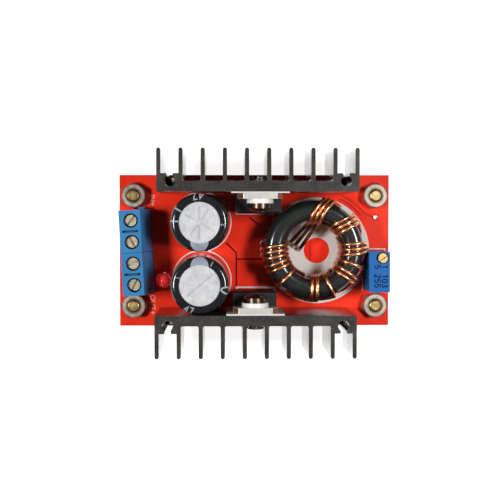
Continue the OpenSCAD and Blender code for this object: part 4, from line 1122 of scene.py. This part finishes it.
def tear_lips(shape, x, lip_y, z, way):
    """Chips on both lips of a screw channel."""
    for side in (-1, 1):
        for _ in range(LIP_FLAKES):
            at = (x + side * rng.uniform(*LIP_OUT), lip_y - way * rng.uniform(*LIP_BACK),
                  z - rng.uniform(*LIP_DOWN))
            flake(shape, at, LIP_FLAKE)


def burr(shape, screw, back, way):
    """Burrs round the tip of a screw, behind the heatsink's base."""
    for k in range(BURRS):
        a = 2 * math.pi * k / BURRS
        out = rng.uniform(*BURR_OUT)
        y = back + way * rng.uniform(*BURR_BACK)
        flake(shape, (screw.x + out * math.cos(a), y, screw.z + out * math.sin(a)), BURR)


torn = Shape()
burrs = Shape()
inset = (FIN_T + FIN_PITCH) / 2
for node, way, screw in SINKS:
    low, high = box_mm(node)
    face = low.y if way > 0 else high.y
    for x in (low.x + inset, high.x - inset):
        tear_lips(torn, x, face + way * (BASE_T + CHANNEL_LIP), high.z, way)
    burr(burrs, middle(screw), face + way * BASE_T, way)
low, high = box_mm("heatsink_lower")
for places, size in ((ROW_PLACES, ROW_FLAKE), (LONE_PLACES, LONE_FLAKE)):
    for x in places:
        flake(torn, (low.x + x, high.y - EDGE_BACK, high.z - EDGE_DOWN), size)
torn.build("sink_torn_edges", bare_aluminium, slot="black_anodised")
burrs.build("sink_burrs", sink, slot="black_anodised")


# Metal inside the lamp's lens

ANVIL = ((-0.55, 0.15), (0.55, 0.15), (0.45, 0.85), (-0.45, 0.85))
POST = ((-0.25, -0.85), (0.25, -0.85), (0.2, -0.45), (-0.2, -0.45))
CUP = ((0.0, -0.05), (0.42, 0.0), (0.52, 0.45), (0.44, 0.45), (0.26, 0.14), (0.0, 0.14))
CUP_Y, CUP_STEPS = 0.3, 24
SEAT_RISE, CUP_DEPTH, POST_RISE = 0.15, 2.2, 0.2
seat = LAMP_LOW.z + SEAT_RISE
cup_z = LAMP_HIGH.z - CUP_DEPTH
inside = Shape()
for outline, top in ((ANVIL, cup_z), (POST, cup_z + POST_RISE)):
    inside.prism([(LAMP.x + x, LAMP.y + y) for x, y in outline], seat, top)
inside.turned((LAMP.x, LAMP.y + CUP_Y), [(r, cup_z + h) for r, h in CUP], CUP_STEPS)
inside.build("lamp_anvil", tinned, slot="tinned_metal")


# Dark print on the trimmer

FIGURE_SIZE, FIGURE_WEIGHT = 1.3, 0.27
TRIMMER_ROWS = (("5 255", 27.75), ("1 103", 29.45))
ROW_Y = TRIMMER.y - 1.0
TRIMMER_INK = (TRIMMER_HIGH.z - 0.05, TRIMMER_HIGH.z + 0.01)
label = Shape()
for figures, x in TRIMMER_ROWS:
    place = flat_text((x, ROW_Y), READ_DOWN, *TRIMMER_INK)
    write(label, figures, FIGURE_SIZE, FIGURE_WEIGHT, place)
label.build("trimmer_print", dark_ink)


# Floor and world

scene = bpy.context.scene
scene.view_settings.view_transform = "Standard"
FLOOR_HALF, FLOOR_Z = 3.0, -0.0001
FLOOR_SHADE, FLOOR_GLOW = 0.50, 0.88
SKY_FILL, SKY_MIRRORED, SKY_SEEN = 0.015, 0.20, 1.0
CAMERA_RAYS = ("Is Camera Ray",)
MIRRORED_RAYS = ("Is Glossy Ray", "Is Transmission Ray")
floor = bpy.data.meshes.new("floor")
floor.from_pydata([(x * FLOOR_HALF, y * FLOOR_HALF, 0) for x, y in ((-1, -1), (1, -1), (1, 1), (-1, 1))],
                  [], [[0, 1, 2, 3]])
floor_object = bpy.data.objects.new("floor", floor)
floor_object.location.z = FLOOR_Z
scene.collection.objects.link(floor_object)

paper = bpy.data.materials.new("pale_floor")
n = Nodes(paper)
n.tree.nodes.clear()
diffuse = n.add("BsdfDiffuse")
n.feed(diffuse.inputs["Color"], (FLOOR_SHADE, FLOOR_SHADE, FLOOR_SHADE))
glow = n.add("Emission")
n.link(n.rays(CAMERA_RAYS + MIRRORED_RAYS, 0.0, FLOOR_GLOW), glow.inputs["Strength"])
both = n.add("AddShader")
n.link(diffuse.outputs[0], both.inputs[0])
n.link(glow.outputs[0], both.inputs[1])
n.link(both.outputs[0], n.add("OutputMaterial").inputs["Surface"])
floor.materials.append(paper)

scene.world = bpy.data.worlds.new("studio")
n = Nodes(scene.world)
sky = n.tree.nodes["Background"]
n.feed(sky.inputs["Color"], (1.0, 1.0, 1.0))
mirrored = n.rays(MIRRORED_RAYS, SKY_FILL, SKY_MIRRORED)
direct = n.rays(CAMERA_RAYS, 0.0, SKY_SEEN)
n.link(n.math("MAXIMUM", mirrored, direct), sky.inputs["Strength"])


# Lamps

def softbox(name, azimuth, elevation, distance, width, height, power):
    """A soft lamp that looks at the module from an azimuth from +X and an elevation, in degrees."""
    lamp = bpy.data.lights.new(name, "AREA")
    lamp.shape = "RECTANGLE"
    lamp.size = width
    lamp.size_y = height
    lamp.energy = power
    obj = bpy.data.objects.new(name, lamp)
    a, e = math.radians(azimuth), math.radians(elevation)
    away = Vector((math.cos(a) * math.cos(e), math.sin(a) * math.cos(e), math.sin(e)))
    obj.location = Vector((0, 0, Z_TOP * MM)) + away * distance
    obj.rotation_euler = (-away).to_track_quat("-Z", "Y").to_euler()
    scene.collection.objects.link(obj)


softbox("softbox_left", azimuth=179.0, elevation=54.0, distance=0.55, width=0.14, height=0.09, power=2.45)
softbox("softbox_right", azimuth=8.0, elevation=62.0, distance=0.55, width=0.16, height=0.09, power=2.4)


# Camera

SENSOR, LENS = 36.0, 72.98
NEAR, FAR = 0.01, 20.0
EYE = Vector((-6.65, 8.8, Z_TOP + 245.0)) * MM
AIM = Vector((-1.09, 0.10, Z_TOP)) * MM
camera = bpy.data.cameras.new("camera")
camera.sensor_width = SENSOR
camera.lens = LENS
camera.clip_start = NEAR
camera.clip_end = FAR
camera_object = bpy.data.objects.new("camera", camera)
back = (EYE - AIM).normalized()
right = Vector((0, 1, 0)).cross(back).normalized()
up = back.cross(right)
camera_object.matrix_world = Matrix.Translation(EYE) @ Matrix((right, up, back)).transposed().to_4x4()
scene.collection.objects.link(camera_object)
scene.camera = camera_object
